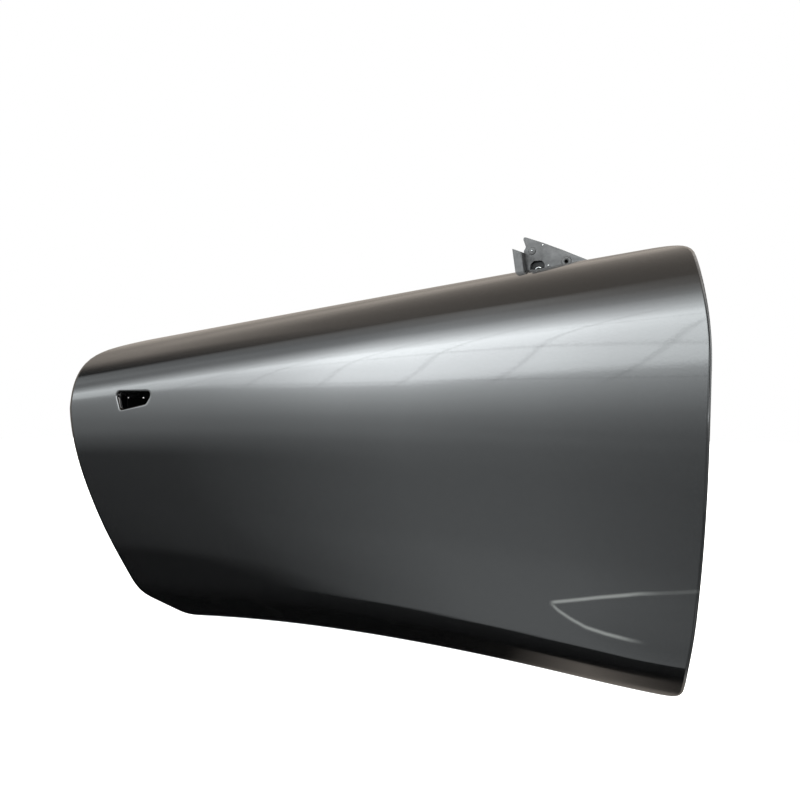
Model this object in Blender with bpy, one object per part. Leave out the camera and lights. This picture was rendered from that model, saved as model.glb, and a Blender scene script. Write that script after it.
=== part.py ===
# A car door shell: the pressed and welded body of a frameless right-hand front door.
# X points forward, the outside faces -Y and Z is up. The origin is the middle of the
# upper hinge pad. Lengths are metres, angles degrees. A share is a part of 1.
import math

import bmesh
import bpy
import numpy as np
from mathutils import Matrix, Vector
from mathutils.geometry import delaunay_2d_cdt

# Overall form. Heights are above a datum near the sill.
DOOR_LENGTH = 1.300
FRONT_OVERHANG = 0.055
HINGE_HEIGHT = 0.490
SIDE_DEPTH = 0.140
BELT_REAR = 0.570
BELT_MIDDLE = 0.626
BELT_FRONT = 0.682
SILL_REAR = -0.049
SILL_MIDDLE = 0.018
SILL_FRONT = -0.003
SILL_SWEEP = 0.014
SILL_SWEEP_START_SHARE = 0.6
PLAN_SETBACK_FRONT = 0.0086
PLAN_SETBACK_REAR = -0.0064

# Edges seen from the side: how far they run in below and above their widest height.
REAR_CUT_BELOW = 0.250
REAR_CUT_ABOVE = 0.029
REAR_WIDEST_SHARE = 0.72
REAR_CUT_POWER = 1.27
FRONT_CUT_BELOW = 0.060
FRONT_CUT_ABOVE = 0.055
FRONT_WIDEST_SHARE = 0.69
FRONT_CUT_POWER = 2.78
TOP_REAR_CORNER = 0.100
TOP_FRONT_CORNER = 0.055
SILL_REAR_CORNER = 0.040
SILL_FRONT_CORNER = 0.030

# Section of the skin from sill to belt, rear and front value: the lean at the sill,
# then each bend's place and width on the arc and its turn.
SILL_LEAN = (-71.0, -66.5)
BEND_PLACE_SHARES = ((0.025, 0.025), (0.17, 0.135), (0.36, 0.36), (0.58, 0.58), (0.851, 0.9125))
BEND_WIDTH_SHARES = ((0.06, 0.06), (0.12, 0.06), (0.30, 0.30), (0.36, 0.36), (0.304, 0.304))
BEND_TURNS = ((20.9, 14.0), (38.4, 44.6), (6.7, 10.5), (11.2, 6.8), (67.1, 66.0))
WIDEST_ARC_SHARE = 0.55

# Shallow dish in the lower front of the skin.
DISH_DEPTH = 0.0035
DISH_REACH = 0.250
DISH_PLACE_SHARE = 0.215
DISH_HALF_HEIGHT_SHARE = 0.075

# Sheet gauges and the gaps between touching sheets.
SKIN_GAUGE = 0.0010
PANEL_GAUGE = 0.0010
BRACE_GAUGE = 0.0016
HINGE_BRACE_GAUGE = 0.0025
SEAT_GAP = 0.0003
HEM_GAP = 0.0004

# Folds round the skin.
HEM_RETURN = 0.010
HEM_CLEARANCE = 0.0016
HEM_LEAST_CORNER = 0.010
BELT_FOLD_RADIUS = 0.003
BELT_FLANGE = 0.012
HEM_TURN = 180.0
BELT_TURN = 107.0
LIP_TURN = 90.0
FLANGE_REACH_SHARE = 1.05
ROUND_END_SHARE = 0.999
FOLD_STEPS = 4

# Opening for the outside handle.
HANDLE_REACH = 0.137
HANDLE_BELOW_BELT = 0.1435
HANDLE_BORDER = 0.012
HANDLE_LENGTH = 0.098
HANDLE_HEIGHT = 0.042
HANDLE_CORNER_SHARES = ((-0.32, -0.50), (0.33, -0.19), (0.50, 0.48), (-0.50, 0.50))
HANDLE_CORNER_RADIUS = 0.007
LIP_RADIUS = 0.0022
LIP_DEPTH = 0.004

# Inner panel.
LEDGE_Y = 0.028
FACE_Y = 0.058
FLANGE_WIDTH = 0.020
WALL_INSET = 0.028
WALL_FOOT_DEPTH = 0.008
LATCH_WALL_OVERHANG = 0.055
FOOT_RISE = 0.014
SHELF_DROP = 0.019
SHELF_FLANGE = 0.012
LEDGE_WIDTH = 0.016
BELT_STRIP = 0.044
FACE_RAMP = 0.010
PANEL_CORNER = 0.060
FACE_CORNER = 0.042
SLOT_REAR_MARGIN = 0.095
SLOT_FRONT_MARGIN = 0.110
BELT_LIP = 0.008

# Openings and beads of the inner panel's face.
REBATE_DEPTH = 0.006
REBATE_RAMP = 0.004
REBATE_WIDTH = 0.010
OPENING_RADIUS = 0.024
SPEAKER_SIDES = 40
SPEAKER_PLACE_SHARES = (0.828, 0.296)
SPEAKER_RADIUS = 0.078
FRONT_OPENING_SHARES = ((0.508, 0.211), (0.689, 0.211), (0.710, 0.602), (0.693, 0.700), (0.500, 0.660))
REAR_OPENING_SHARES = ((0.235, 0.280), (0.412, 0.280), (0.412, 0.710), (0.170, 0.657), (0.160, 0.549))
HINGE_OPENING_X = -0.140
HINGE_OPENING_LENGTH = 0.110
HINGE_OPENING_PLACE_SHARES = (0.540, 0.739)
BEAD_HEIGHT = 0.005
BEAD_RAMP = 0.004
BEAD_WIDTH = 0.024
BEAD_PLACE_SHARES = (((0.30, 0.14), (0.62, 0.14)), ((0.17, 0.81), (0.36, 0.81)), ((0.54, 0.80), (0.72, 0.80)),
                     ((0.457, 0.26), (0.457, 0.68)))

# Hinge pads, check strap and latch.
UPPER_HINGE_Z = 0.0
LOWER_HINGE_HEIGHT = 0.165
HINGE_PAD_Y = 0.0
HINGE_BOLT_SPACING = 0.050
HINGE_BOLT_BORE = 0.011
HINGE_NUT_BORE = 0.0085
HINGE_BRACE_HEIGHT = 0.092
HINGE_BRACE_WIDTH = 0.048
HINGE_BRACE_FLANGE = 0.034
NUT_PLATE_HEIGHT = 0.074
NUT_PLATE_WIDTH = 0.026
NUT_PLATE_THICKNESS = 0.006
CHECK_HEIGHT = 0.325
CHECK_SLOT_HEIGHT = 0.040
CHECK_SLOT_WIDTH = 0.016
CHECK_BOLT_SPACING = 0.062
CHECK_BOLT_BORE = 0.007
CHECK_BRACE_HEIGHT = 0.088
CHECK_BRACE_WIDTH = 0.040
GROMMET_HEIGHT = 0.405
GROMMET_BORE = 0.032
LATCH_HEIGHT = 0.405
LATCH_Y = -0.012
LATCH_SLOT_HEIGHT = 0.058
LATCH_SLOT_WIDTH = 0.024
LATCH_BOLT_BORE = 0.008
LATCH_BOLT_SHARES = ((-0.30, 0.43), (0.36, 0.43), (-0.30, -0.43))
LATCH_BRACE_HEIGHT = 0.100
LATCH_BRACE_WIDTH = 0.066
LATCH_BRACE_LEG = 0.014

# Belt reinforcements.
BELT_BRACE_END = 0.014
BELT_BRACE_TOP = 0.005
BELT_BRACE_HEIGHT = 0.034
BELT_BRACE_SHELF = 0.022
BELT_BRACE_TAIL = 0.010
BELT_BRACE_STEPS = 24
BRACE_BEND = 0.004
BEND_STEPS = 3
ROUND_STEPS = 5
INNER_BRACE_FOOT = 0.009
INNER_BRACE_HAT = 0.010
INNER_BRACE_RAMP = 0.004
INNER_BRACE_CROWN = 0.016

# Side beam.
BEAM_RADIUS = 0.015
BEAM_WALL = 0.002
BEAM_SIDES = 20
BEAM_Y = -0.110
BEAM_FRONT_HEIGHT = 0.315
BEAM_REAR_HEIGHT = 0.386
BEAM_END_GAP = 0.018
BEAM_BRACKET_HEIGHT = 0.050
BEAM_BRACKET_ARM = 0.090
BEAM_BRACKET_FLANGE = 0.030
MASTIC_LENGTH = 0.045
MASTIC_HEIGHT = 0.022
MASTIC_PLACE_SHARES = (0.25, 0.5, 0.75)

# Handle reinforcement and damping pads behind the skin.
HANDLE_BRACE_MARGIN = 0.024
HANDLE_BRACE_RELIEF = 0.006
HANDLE_BRACE_FLANGE = 0.006
HANDLE_BRACE_GAP = 0.0006
HANDLE_BRACE_SEAT = 0.009
HANDLE_BRACE_RAMP = 0.006
HANDLE_BRACE_CLEARANCE = 0.002
PAD_THICKNESS = 0.0024
PAD_HEIGHT = 0.117
PAD_CLEARANCE = 0.030
PAD_GAP = 0.0005
PAD_LENGTH = 0.280
PAD_ROWS = 4
PAD_COLUMNS = 4
HANDLE_BRACE_PARTS = 5
FRONT_PAD_PLACE_SHARE = 0.53
REAR_PAD_PLACE_SHARE = 0.223

# Glass channels.
CHANNEL_WIDTH = 0.014
CHANNEL_DEPTH = 0.015
CHANNEL_GAUGE = 0.0016
CHANNEL_BEND = 0.0025
CHANNEL_Y = 0.002
CHANNEL_LOW_Y = -0.026
CHANNEL_LEAN = 8.3
CHANNEL_STEPS = 8
CHANNEL_CUT = 0.009
FRONT_CHANNEL_X = -0.278
FRONT_CHANNEL_RISE = 0.0442
FRONT_CHANNEL_LENGTH = 0.360
REAR_CHANNEL_MARGIN = 0.020
REAR_CHANNEL_DROP = 0.0257
REAR_CHANNEL_LENGTH = 0.300
CHANNEL_FOOT_LENGTH = 0.030
CHANNEL_FOOT_HEIGHT = 0.032
CHANNEL_FOOT_RISE = 0.390
SPACER_SHARES = (0.08, 0.70)
SPACER_HEIGHT = 0.014

# Mirror bracket, a plate that stands in the window slot.
MIRROR_GAUGE = 0.005
MIRROR_APEX_X = -0.266
MIRROR_RISE = 0.0647
MIRROR_LENGTH = 0.112
MIRROR_HEIGHT = 0.118
MIRROR_OUTLINE_SHARES = ((0.0, 0.0), (0.067, -0.164), (0.03, -0.21), (0.12, -1.0), (1.0, -1.0),
                         (1.0, -0.427), (0.646, -0.259), (0.417, -0.132))
MIRROR_CORNER_RADIUS = 0.0018
MIRROR_WINDOW_PLACE_SHARES = (0.268, -0.483)
MIRROR_WINDOW_LENGTH = 0.032
MIRROR_WINDOW_HEIGHT = 0.018
MIRROR_WINDOW_RADIUS = 0.006
MIRROR_HOLE_PLACE_SHARES = (0.691, -0.397)
MIRROR_HOLE_BORE = 0.009
MIRROR_BOLT_BORE = 0.007
MIRROR_BOLT_SHARES = (0.2, 0.53, 0.86)
MIRROR_BOLT_RADIUS = 0.0031
MIRROR_BOLT_HEAD = 0.0065
MIRROR_BOLT_HEAD_HEIGHT = 0.005
MIRROR_BOLT_LENGTH = 0.012
BOLT_SIDES = 12

# Pull handle bracket on the cabin side.
PULL_PLACE_SHARES = (0.445, 0.818)
PULL_LENGTH = 0.110
PULL_HEIGHT = 0.040
PULL_FOOT = 0.020
PULL_STAND = 0.022
PULL_RAMP = 0.008
PULL_BOLT_SPACING = 0.064
PULL_BOLT_BORE = 0.009

# Small holes.
DRAIN_LENGTH = 0.022
DRAIN_WIDTH = 0.007
DRAIN_PLACE_SHARES = (0.22, 0.52, 0.82)
CLIP_BORE = 0.008
CLIP_INSET = 0.014
CLIP_PLACE_SHARES = (("rear", (0.15, 0.75)), ("sill", (0.1, 0.37, 0.63, 0.9)), ("front", (0.3, 0.85)))
DRAIN_Y = -0.012
CUT_REACH = 0.008

# Fineness of the curved surfaces.
ARC_STEPS = 400
PROBE = 0.0006
PROBE_SHARE = 0.003
CORNER_TIMES_SHARES = (0.0, 0.16, 0.32, 0.48, 0.64, 0.82, 1.0)
MIDDLE_ROW_SHARES = (0.08, 0.102, 0.12, 0.135, 0.15, 0.168, 0.188, 0.22, 0.265, 0.32, 0.38, 0.44, 0.50,
                     0.56, 0.615, 0.66, 0.69, 0.72, 0.75, 0.78, 0.82)
COLUMN_SHARES = (0.0, 0.012, 0.028, 0.052, 0.085, 0.105, 0.125, 0.145, 0.165, 0.185, 0.205, 0.24, 0.28,
                 0.32, 0.36, 0.40, 0.44, 0.48, 0.52, 0.56, 0.60, 0.64, 0.68, 0.72, 0.76, 0.80, 0.84,
                 0.88, 0.915, 0.945, 0.968, 0.985, 1.0)
LOOP_LOW_SHARE = 0.14
LOOP_HIGH_SHARE = 0.80
BORE_SIDES = 16
FLATNESS_SHARE = 1e-5
LEAST_STEP_SHARE = 0.08
WELD_DISTANCE = 1e-7

# Paint and coat colours.
PAINT = ((0.055, 0.056, 0.060), 0.9, 0.28)
PRIMER = ((0.10, 0.10, 0.105), 0.5, 0.42)
COATED = ((0.06, 0.065, 0.07), 0.6, 0.45)
SATIN = ((0.045, 0.047, 0.05), 0.4, 0.5)
STEEL = ((0.55, 0.55, 0.53), 1.0, 0.32)
MASTIC = ((0.05, 0.05, 0.05), 0.0, 0.85)
BITUMEN = ((0.03, 0.03, 0.032), 0.0, 0.9)

ARC = np.linspace(0.0, 1.0, ARC_STEPS + 1)
REAR_X = FRONT_OVERHANG - DOOR_LENGTH
LATCH_WALL_X = REAR_X + LATCH_WALL_OVERHANG
SLOT_REAR_X = LATCH_WALL_X + SLOT_REAR_MARGIN
SLOT_FRONT_X = -SLOT_FRONT_MARGIN
REAR_CHANNEL_X = SLOT_REAR_X + REAR_CHANNEL_MARGIN
HANDLE_X = LATCH_WALL_X + HANDLE_REACH
LOWER_HINGE_Z = LOWER_HINGE_HEIGHT - HINGE_HEIGHT
CHECK_Z = CHECK_HEIGHT - HINGE_HEIGHT
GROMMET_Z = GROMMET_HEIGHT - HINGE_HEIGHT
LATCH_Z = LATCH_HEIGHT - HINGE_HEIGHT
BEAM_FRONT_Z = BEAM_FRONT_HEIGHT - HINGE_HEIGHT
BEAM_REAR_Z = BEAM_REAR_HEIGHT - HINGE_HEIGHT


def ease(t):
    t = np.clip(t, 0.0, 1.0)
    return t ** 3 * (t * (6 * t - 15) + 10)


def length_share(x):
    """Place along the door: -1 at the rear, 1 at the front."""
    return 2 * (np.asarray(x, float) - REAR_X) / DOOR_LENGTH - 1


def mix(rear, front, u):
    return rear + (front - rear) * (u + 1) / 2


def through(rear, middle, front, u):
    return middle + (front - rear) / 2 * u + ((front + rear) / 2 - middle) * u * u


def sill_z(x):
    u = length_share(x)
    sweep = np.clip((u - SILL_SWEEP_START_SHARE) / (1 - SILL_SWEEP_START_SHARE), 0, None) ** 3
    return through(SILL_REAR, SILL_MIDDLE, SILL_FRONT, u) + SILL_SWEEP * sweep - HINGE_HEIGHT


def belt_z(x):
    return through(BELT_REAR, BELT_MIDDLE, BELT_FRONT, length_share(x)) - HINGE_HEIGHT


def over_belt(x, rise):
    """Height of a point that lies a rise above the belt line at x."""
    return float(belt_z(x)) + rise


def face_point(across, up):
    """Point of the panel's face at shares of the way from latch wall to front wall and
    from sill to belt."""
    x = LATCH_WALL_X * (1 - across)
    low, high = float(sill_z(x)), float(belt_z(x))
    return x, low + (high - low) * up


def lean(u, v):
    """Lean of the skin from upright, in radians."""
    total = mix(*SILL_LEAN, u)
    for place, width, turn in zip(BEND_PLACE_SHARES, BEND_WIDTH_SHARES, BEND_TURNS):
        total = total + mix(*turn, u) * ease((v - mix(*place, u)) / mix(*width, u) + 0.5)
    return np.radians(total)


def sections(x):
    """Depth and height along the arc of the section at each x, and its arc length."""
    x = np.atleast_1d(np.asarray(x, float))
    u = length_share(x)[:, None]
    angle = lean(u, ARC[None, :])
    run = [np.cumsum((w[:, 1:] + w[:, :-1]) / 2, axis=1) / ARC_STEPS for w in (np.sin(angle), np.cos(angle))]
    y, z = [np.hstack((np.zeros((len(x), 1)), r)) for r in run]
    scale = ((belt_z(x) - sill_z(x)) / z[:, -1])[:, None]
    widest = y[:, int(WIDEST_ARC_SHARE * ARC_STEPS)][:, None]
    even = (PLAN_SETBACK_FRONT + PLAN_SETBACK_REAR) / 2
    odd = (PLAN_SETBACK_FRONT - PLAN_SETBACK_REAR) / 2
    y = (y - widest) * scale + even * u ** 2 + odd * u ** 3 - SIDE_DEPTH
    return y, z * scale + sill_z(x)[:, None], scale[:, 0]


def dish(x, v):
    """Depth of the shallow dish in the lower front."""
    across = (x - FRONT_OVERHANG) / DISH_REACH
    along = (v - DISH_PLACE_SHARE) / DISH_HALF_HEIGHT_SHARE
    return DISH_DEPTH * ease(2 - 2 * np.hypot(across, along))


def bare_skin(x, v):
    y, z, _ = sections(x)
    place = np.clip(v, 0.0, 1.0) * ARC_STEPS
    low = np.minimum(place.astype(int), ARC_STEPS - 1)
    part = place - low
    n = np.arange(len(x))
    at = [w[n, low] * (1 - part) + w[n, low + 1] * part for w in (y, z)]
    return np.stack((x, at[0] + dish(x, v), at[1]), axis=1)


def skin_normal(x, v):
    """Outward normal of the skin."""
    low, high = np.clip(v - PROBE_SHARE, 0, 1), np.clip(v + PROBE_SHARE, 0, 1)
    across = bare_skin(x + PROBE, v) - bare_skin(x - PROBE, v)
    along = bare_skin(x, high) - bare_skin(x, low)
    normal = np.cross(across, along)
    return normal / np.linalg.norm(normal, axis=1)[:, None]


def skin(x, v, depth=0.0):
    """Points of the skin, moved inward by depth."""
    x, v = [np.ravel(w).astype(float) for w in np.broadcast_arrays(x, v)]
    return bare_skin(x, v) - skin_normal(x, v) * np.reshape(depth, (-1, 1))


ARC_LENGTH = float(sections(REAR_X + DOOR_LENGTH / 2)[2][0])


def arc_share_at(x, z):
    """Arc share of the skin at the height z."""
    heights = sections(x)[1]
    return np.array([np.interp(h, row, ARC) for h, row in zip(np.ravel(z), heights)])


def layer_y(x, z, depth):
    """Depth coordinate, at x and height z, of the surface that lies depth under the skin."""
    found = []
    for one_x, one_z in zip(x, z):
        rows = skin(np.full(len(ARC[::4]), one_x), ARC[::4], depth)
        found.append(np.interp(one_z, rows[:, 2], rows[:, 1]))
    return np.array(found)


def rear_edge(v):
    below = np.clip((REAR_WIDEST_SHARE - v) / REAR_WIDEST_SHARE, 0, 1) ** REAR_CUT_POWER
    above = np.clip((v - REAR_WIDEST_SHARE) / (1 - REAR_WIDEST_SHARE), 0, 1) ** 2
    return REAR_X + REAR_CUT_BELOW * below + REAR_CUT_ABOVE * above


def front_edge(v):
    below = np.clip((FRONT_WIDEST_SHARE - v) / FRONT_WIDEST_SHARE, 0, 1) ** FRONT_CUT_POWER
    above = np.clip((v - FRONT_WIDEST_SHARE) / (1 - FRONT_WIDEST_SHARE), 0, 1) ** 2
    return FRONT_OVERHANG - FRONT_CUT_BELOW * below - FRONT_CUT_ABOVE * above


def corner_cut(distance, reach):
    """How far a rounded corner moves an edge in, at a distance from the crossing edge."""
    return reach * (1 - np.sqrt(np.clip(distance / reach, 0, 1))) ** 2


def rear_outline(v):
    low, high = v * ARC_LENGTH, (1 - v) * ARC_LENGTH
    return rear_edge(v) + corner_cut(low, SILL_REAR_CORNER) + corner_cut(high, TOP_REAR_CORNER)


def front_outline(v):
    low, high = v * ARC_LENGTH, (1 - v) * ARC_LENGTH
    return front_edge(v) - corner_cut(low, SILL_FRONT_CORNER) - corner_cut(high, TOP_FRONT_CORNER)


def row_shares():
    """Arc shares of the skin's rows, close together in the corners."""
    times = np.array(CORNER_TIMES_SHARES)
    low = SILL_REAR_CORNER / ARC_LENGTH * (1 - times[::-1]) ** 2
    high = 1 - TOP_REAR_CORNER / ARC_LENGTH * (1 - times) ** 2
    return np.concatenate((low, MIDDLE_ROW_SHARES, high))


class Sheet:
    """Points and faces of one side of a sheet, before it gets its gauge."""

    def __init__(self):
        self.points, self.normals, self.faces = [], [], []

    def row(self, points, normals=None):
        start = len(self.points)
        self.points.extend(np.asarray(points, float))
        if normals is not None:
            self.normals.extend(np.asarray(normals, float))
        return list(range(start, len(self.points)))

    def strip(self, one, other, closed=False):
        ends = len(one) if closed else len(one) - 1
        for i in range(ends):
            j = (i + 1) % len(one)
            self.faces.append((one[i], one[j], other[j], other[i]))

    def fan(self, loop, holes, y):
        """Fill the flat region between a loop and its holes, all in the plane of y."""
        rings = [loop] + holes
        order = [i for ring in rings for i in ring]
        places = {i: n for n, i in enumerate(order)}
        edges = [(places[a], places[b]) for r in rings for a, b in zip(r, r[1:] + r[:1])]
        flat = [Vector((self.points[i][0], self.points[i][2])) for i in order]
        found = delaunay_2d_cdt(flat, edges, [], 0, WELD_DISTANCE)
        shapes = [[(self.points[i][0], self.points[i][2]) for i in ring] for ring in rings]
        for face in found[2]:
            ids = [order[found[3][n][0]] for n in face]
            middle = sum(self.points[i] for i in ids) / len(ids)
            spot = (middle[0], middle[2])
            if sliver(*[self.points[i] for i in ids]):
                continue
            if inside(spot, shapes[0]) and not any(inside(spot, s) for s in shapes[1:]):
                self.faces.append(tuple(ids))


def sliver(a, b, c):
    """Whether a triangle is no more than a line."""
    area = np.linalg.norm(np.cross(b - a, c - a))
    return area < max(np.dot(b - a, b - a), np.dot(c - a, c - a)) * FLATNESS_SHARE


def inside(spot, outline):
    """Whether a flat point lies inside an outline."""
    hit = False
    for (ax, az), (bx, bz) in zip(outline, outline[1:] + outline[:1]):
        if (az > spot[1]) != (bz > spot[1]) and spot[0] < (bx - ax) * (spot[1] - az) / (bz - az) + ax:
            hit = not hit
    return hit


def newell(points):
    """Normal of a face, also where it is slightly twisted."""
    after = np.roll(points, -1, axis=0)
    normal = np.cross(points, after).sum(axis=0)
    size = np.linalg.norm(normal)
    return normal / size if size else normal


def aligned_faces(points, faces, toward):
    """Faces turned alike, most of their area looking along toward."""
    mesh = bmesh.new()
    verts = [mesh.verts.new(p) for p in points]
    for face in faces:
        mesh.faces.new([verts[i] for i in face])
    bmesh.ops.recalc_face_normals(mesh, faces=mesh.faces)
    mesh.verts.index_update()
    turned = [[v.index for v in f.verts] for f in mesh.faces]
    mesh.free()
    facing = sum(np.dot(np.cross(points[f[1]] - points[f[0]], points[f[2]] - points[f[0]]), toward)
                 for f in turned)
    return turned if facing > 0 else [f[::-1] for f in turned]


def offset_directions(points, faces):
    """Step at each point that moves all its faces out by one unit."""
    around = [[] for _ in points]
    for face in faces:
        normal = newell(points[face])
        for i in face:
            around[i].append(normal)
    return np.array([np.linalg.lstsq(np.array(n), np.ones(len(n)), rcond=LEAST_STEP_SHARE)[0] if n else np.zeros(3)
                     for n in around])


def closed_mesh(outer, inner, faces):
    """Two matching sides joined by a rim round every open edge."""
    count = len(outer)
    used = {}
    for face in faces:
        for a, b in zip(face, face[1:] + face[:1]):
            used[(a, b)] = True
    rim = [(b, a, a + count, b + count) for a, b in used if (b, a) not in used]
    back = [tuple(i + count for i in face[::-1]) for face in faces]
    return np.vstack((outer, inner)), [tuple(f) for f in faces] + back + rim


def make_object(name, points, faces, finish):
    """One closed body with faces outward and its own material."""
    mesh = bmesh.new()
    verts = [mesh.verts.new(p) for p in points]
    for face in faces:
        mesh.faces.new([verts[i] for i in face])
    loose = [v for v in mesh.verts if not v.link_faces]
    bmesh.ops.delete(mesh, geom=loose, context='VERTS')
    bmesh.ops.triangulate(mesh, faces=[f for f in mesh.faces if len(f.verts) > 3])
    bmesh.ops.recalc_face_normals(mesh, faces=mesh.faces)
    if mesh.calc_volume(signed=True) < 0:
        bmesh.ops.reverse_faces(mesh, faces=mesh.faces)
    data = bpy.data.meshes.new(name)
    mesh.to_mesh(data)
    mesh.free()
    body = bpy.data.objects.new(name, data)
    bpy.context.scene.collection.objects.link(body)
    colour, metallic, roughness = finish
    material = bpy.data.materials.new(name)
    material.use_nodes = True
    shader = material.node_tree.nodes["Principled BSDF"]
    shader.inputs["Base Color"].default_value = (*colour, 1.0)
    shader.inputs["Metallic"].default_value = metallic
    shader.inputs["Roughness"].default_value = roughness
    data.materials.append(material)
    return body


def pressed(name, sheet, gauge, toward, finish):
    """Body of a sheet whose gauge is added on the side that toward points to."""
    points = np.array(sheet.points)
    faces = aligned_faces(points, sheet.faces, np.array(toward, float))
    other = points + offset_directions(points, faces) * gauge
    solid = closed_mesh(other, points, faces)
    return make_object(name, *solid, finish)


def round_outline(corners, radius, steps=4):
    """Outline of a polygon, given anticlockwise, with arcs at its corners."""
    out = []
    count = len(corners)
    for i, corner in enumerate(corners):
        corner = Vector(corner)
        back = (Vector(corners[i - 1]) - corner).normalized()
        ahead = (Vector(corners[(i + 1) % count]) - corner).normalized()
        half = math.acos(max(-1.0, min(1.0, back.dot(ahead)))) / 2
        reach = radius / math.tan(half)
        centre = corner + (back + ahead).normalized() * (radius / math.sin(half))
        start, end = corner + back * reach - centre, corner + ahead * reach - centre
        turn = start.angle_signed(end)
        for n in range(steps + 1):
            spot = centre + Matrix.Rotation(-turn * n / steps, 2) @ start
            out.append((spot.x, spot.y))
    return out


def spread_corners(corners, distance):
    """Corners of a polygon, given anticlockwise, with each side moved out."""
    count = len(corners)
    out = []
    for i, corner in enumerate(corners):
        corner = Vector(corner)
        back = (corner - Vector(corners[i - 1])).normalized()
        ahead = (Vector(corners[(i + 1) % count]) - corner).normalized()
        one, two = Vector((back.y, -back.x)), Vector((ahead.y, -ahead.x))
        out.append(tuple(corner + (one + two) * (distance / (1 + one.dot(two)))))
    return out


def shaped(middle, size, shares):
    """Corners given as shares of a size about a middle."""
    return [(middle[0] + size[0] * a, middle[1] + size[1] * b) for a, b in shares]


def about(middle, size):
    return middle - size / 2, middle + size / 2


def rectangle(middle, size):
    return shaped(middle, size, ((-0.5, -0.5), (0.5, -0.5), (0.5, 0.5), (-0.5, 0.5)))


def drill(body, holes):
    """Cut round holes and slots: (middle, axis, width, height, reach), height equal to
    width for a round hole, else the length of a slot with round ends."""
    points, faces = [], []
    for middle, axis, width, height, reach in holes:
        half = BORE_SIDES // 2
        ring = []
        for n in range(BORE_SIDES):
            turn = math.pi * 2 * (n + 0.5) / BORE_SIDES
            shift = (height - width) / 2 * (1 if n < half else -1)
            ring.append((width / 2 * math.cos(turn), width / 2 * math.sin(turn) + shift))
        side = {'X': lambda a, b, c: (c, a, b), 'Y': lambda a, b, c: (a, c, b), 'Z': lambda a, b, c: (b, a, c)}[axis]
        start = len(points)
        for end in (-reach, reach):
            points += [np.add(middle, side(a, b, end)) for a, b in ring]
        low, high = list(range(start, start + BORE_SIDES)), list(range(start + BORE_SIDES, len(points)))
        faces += [tuple(low[::-1]), tuple(high)]
        faces += [(low[i - 1], low[i], high[i], high[i - 1]) for i in range(BORE_SIDES)]
    cutter = make_object(body.name + "_cutter", points, faces, STEEL)
    change = body.modifiers.new("holes", 'BOOLEAN')
    change.operation, change.solver, change.object = 'DIFFERENCE', 'EXACT', cutter
    shape = body.evaluated_get(bpy.context.evaluated_depsgraph_get())
    cut = bpy.data.meshes.new_from_object(shape)
    body.modifiers.clear()
    body.data = cut
    bpy.data.objects.remove(cutter)
    return body


def handle_outline(spread=0.0, steps=3):
    corners = shaped((HANDLE_X, over_belt(HANDLE_X, -HANDLE_BELOW_BELT)), (HANDLE_LENGTH, HANDLE_HEIGHT), HANDLE_CORNER_SHARES)
    return round_outline(spread_corners(corners, spread), HANDLE_CORNER_RADIUS + spread, steps)


def split_sides(outline, long_sides, parts, steps=3):
    """Outline with some of its straight sides cut into parts."""
    out = []
    for i, spot in enumerate(outline):
        out.append(spot)
        side, place = divmod(i, steps + 1)
        if place == steps and side in long_sides:
            after = outline[(i + 1) % len(outline)]
            out += [tuple(np.add(spot, np.subtract(after, spot) * n / parts)) for n in range(1, parts)]
    return out


def best_turn(ring, outline):
    """Outline started where its points lie nearest to the ring's."""
    sums = [np.linalg.norm(np.roll(outline, -k, axis=0) - ring, axis=1).sum() for k in range(len(ring))]
    return int(np.argmin(sums))


def fold(sheet, start, points, normals, off, radius, turn, steps):
    """Bend the edge of a sheet round; returns its last row, way on and side."""
    last, centre = start, points - normals * radius
    for n in range(1, steps + 1):
        angle = np.radians(turn * n / steps)[:, None]
        side = normals * np.cos(angle) + off * np.sin(angle)
        row = sheet.row(centre + side * radius, side)
        sheet.strip(last, row, closed=True)
        last = row
    way = off * np.cos(angle) - normals * np.sin(angle)
    return last, way, side


def edge_directions(points, normals):
    """Direction off the sheet at each point of a closed loop, square to the edge."""
    along = np.roll(points, -1, axis=0) - np.roll(points, 1, axis=0)
    off = np.cross(along, normals)
    return off / np.linalg.norm(off, axis=1)[:, None]


def outer_skin():
    """Outer skin: one pressed sheet hemmed round three sides, flanged at the belt and
    with a flanged opening for the handle."""
    sheet = Sheet()
    rows, columns = row_shares(), np.array(COLUMN_SHARES)
    left, right = rear_outline(rows), front_outline(rows)
    x = left[:, None] + (right - left)[:, None] * columns[None, :]
    v = np.broadcast_to(rows[:, None], x.shape)
    grid = np.array(sheet.row(skin(x, v), skin_normal(x.ravel(), v.ravel()))).reshape(x.shape)
    low, high, first, last = handle_block(rows, x)
    for i in range(len(rows) - 1):
        for j in range(len(columns) - 1):
            if not (low <= i < high and first <= j < last):
                sheet.faces.append((grid[i, j], grid[i, j + 1], grid[i + 1, j + 1], grid[i + 1, j]))
    handle_lip(sheet, grid[low:high + 1, first:last + 1])
    skin_folds(sheet, grid, x, v)
    points, normals = np.array(sheet.points), np.array(sheet.normals)
    faces = aligned_faces(points, sheet.faces, np.array((0.0, -1.0, 0.0)))
    return make_object("outer_skin", *closed_mesh(points, points - normals * SKIN_GAUGE, faces), PAINT)


def handle_block(rows, x):
    """Rows and columns of the grid that frame the handle's opening."""
    spots = np.array(handle_outline(HANDLE_BORDER))
    v = arc_share_at(spots[:, 0], spots[:, 1])
    low, high = int(np.searchsorted(rows, v.min())) - 1, int(np.searchsorted(rows, v.max()))
    middle = x[(low + high) // 2]
    return low, high, int(np.searchsorted(middle, spots[:, 0].min())) - 1, int(np.searchsorted(middle, spots[:, 0].max()))


def ring_of(block):
    """Indices round a block of the grid, anticlockwise seen from outside."""
    return list(block[0, :-1]) + list(block[:-1, -1]) + list(block[-1, :0:-1]) + list(block[:0:-1, 0])


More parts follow.
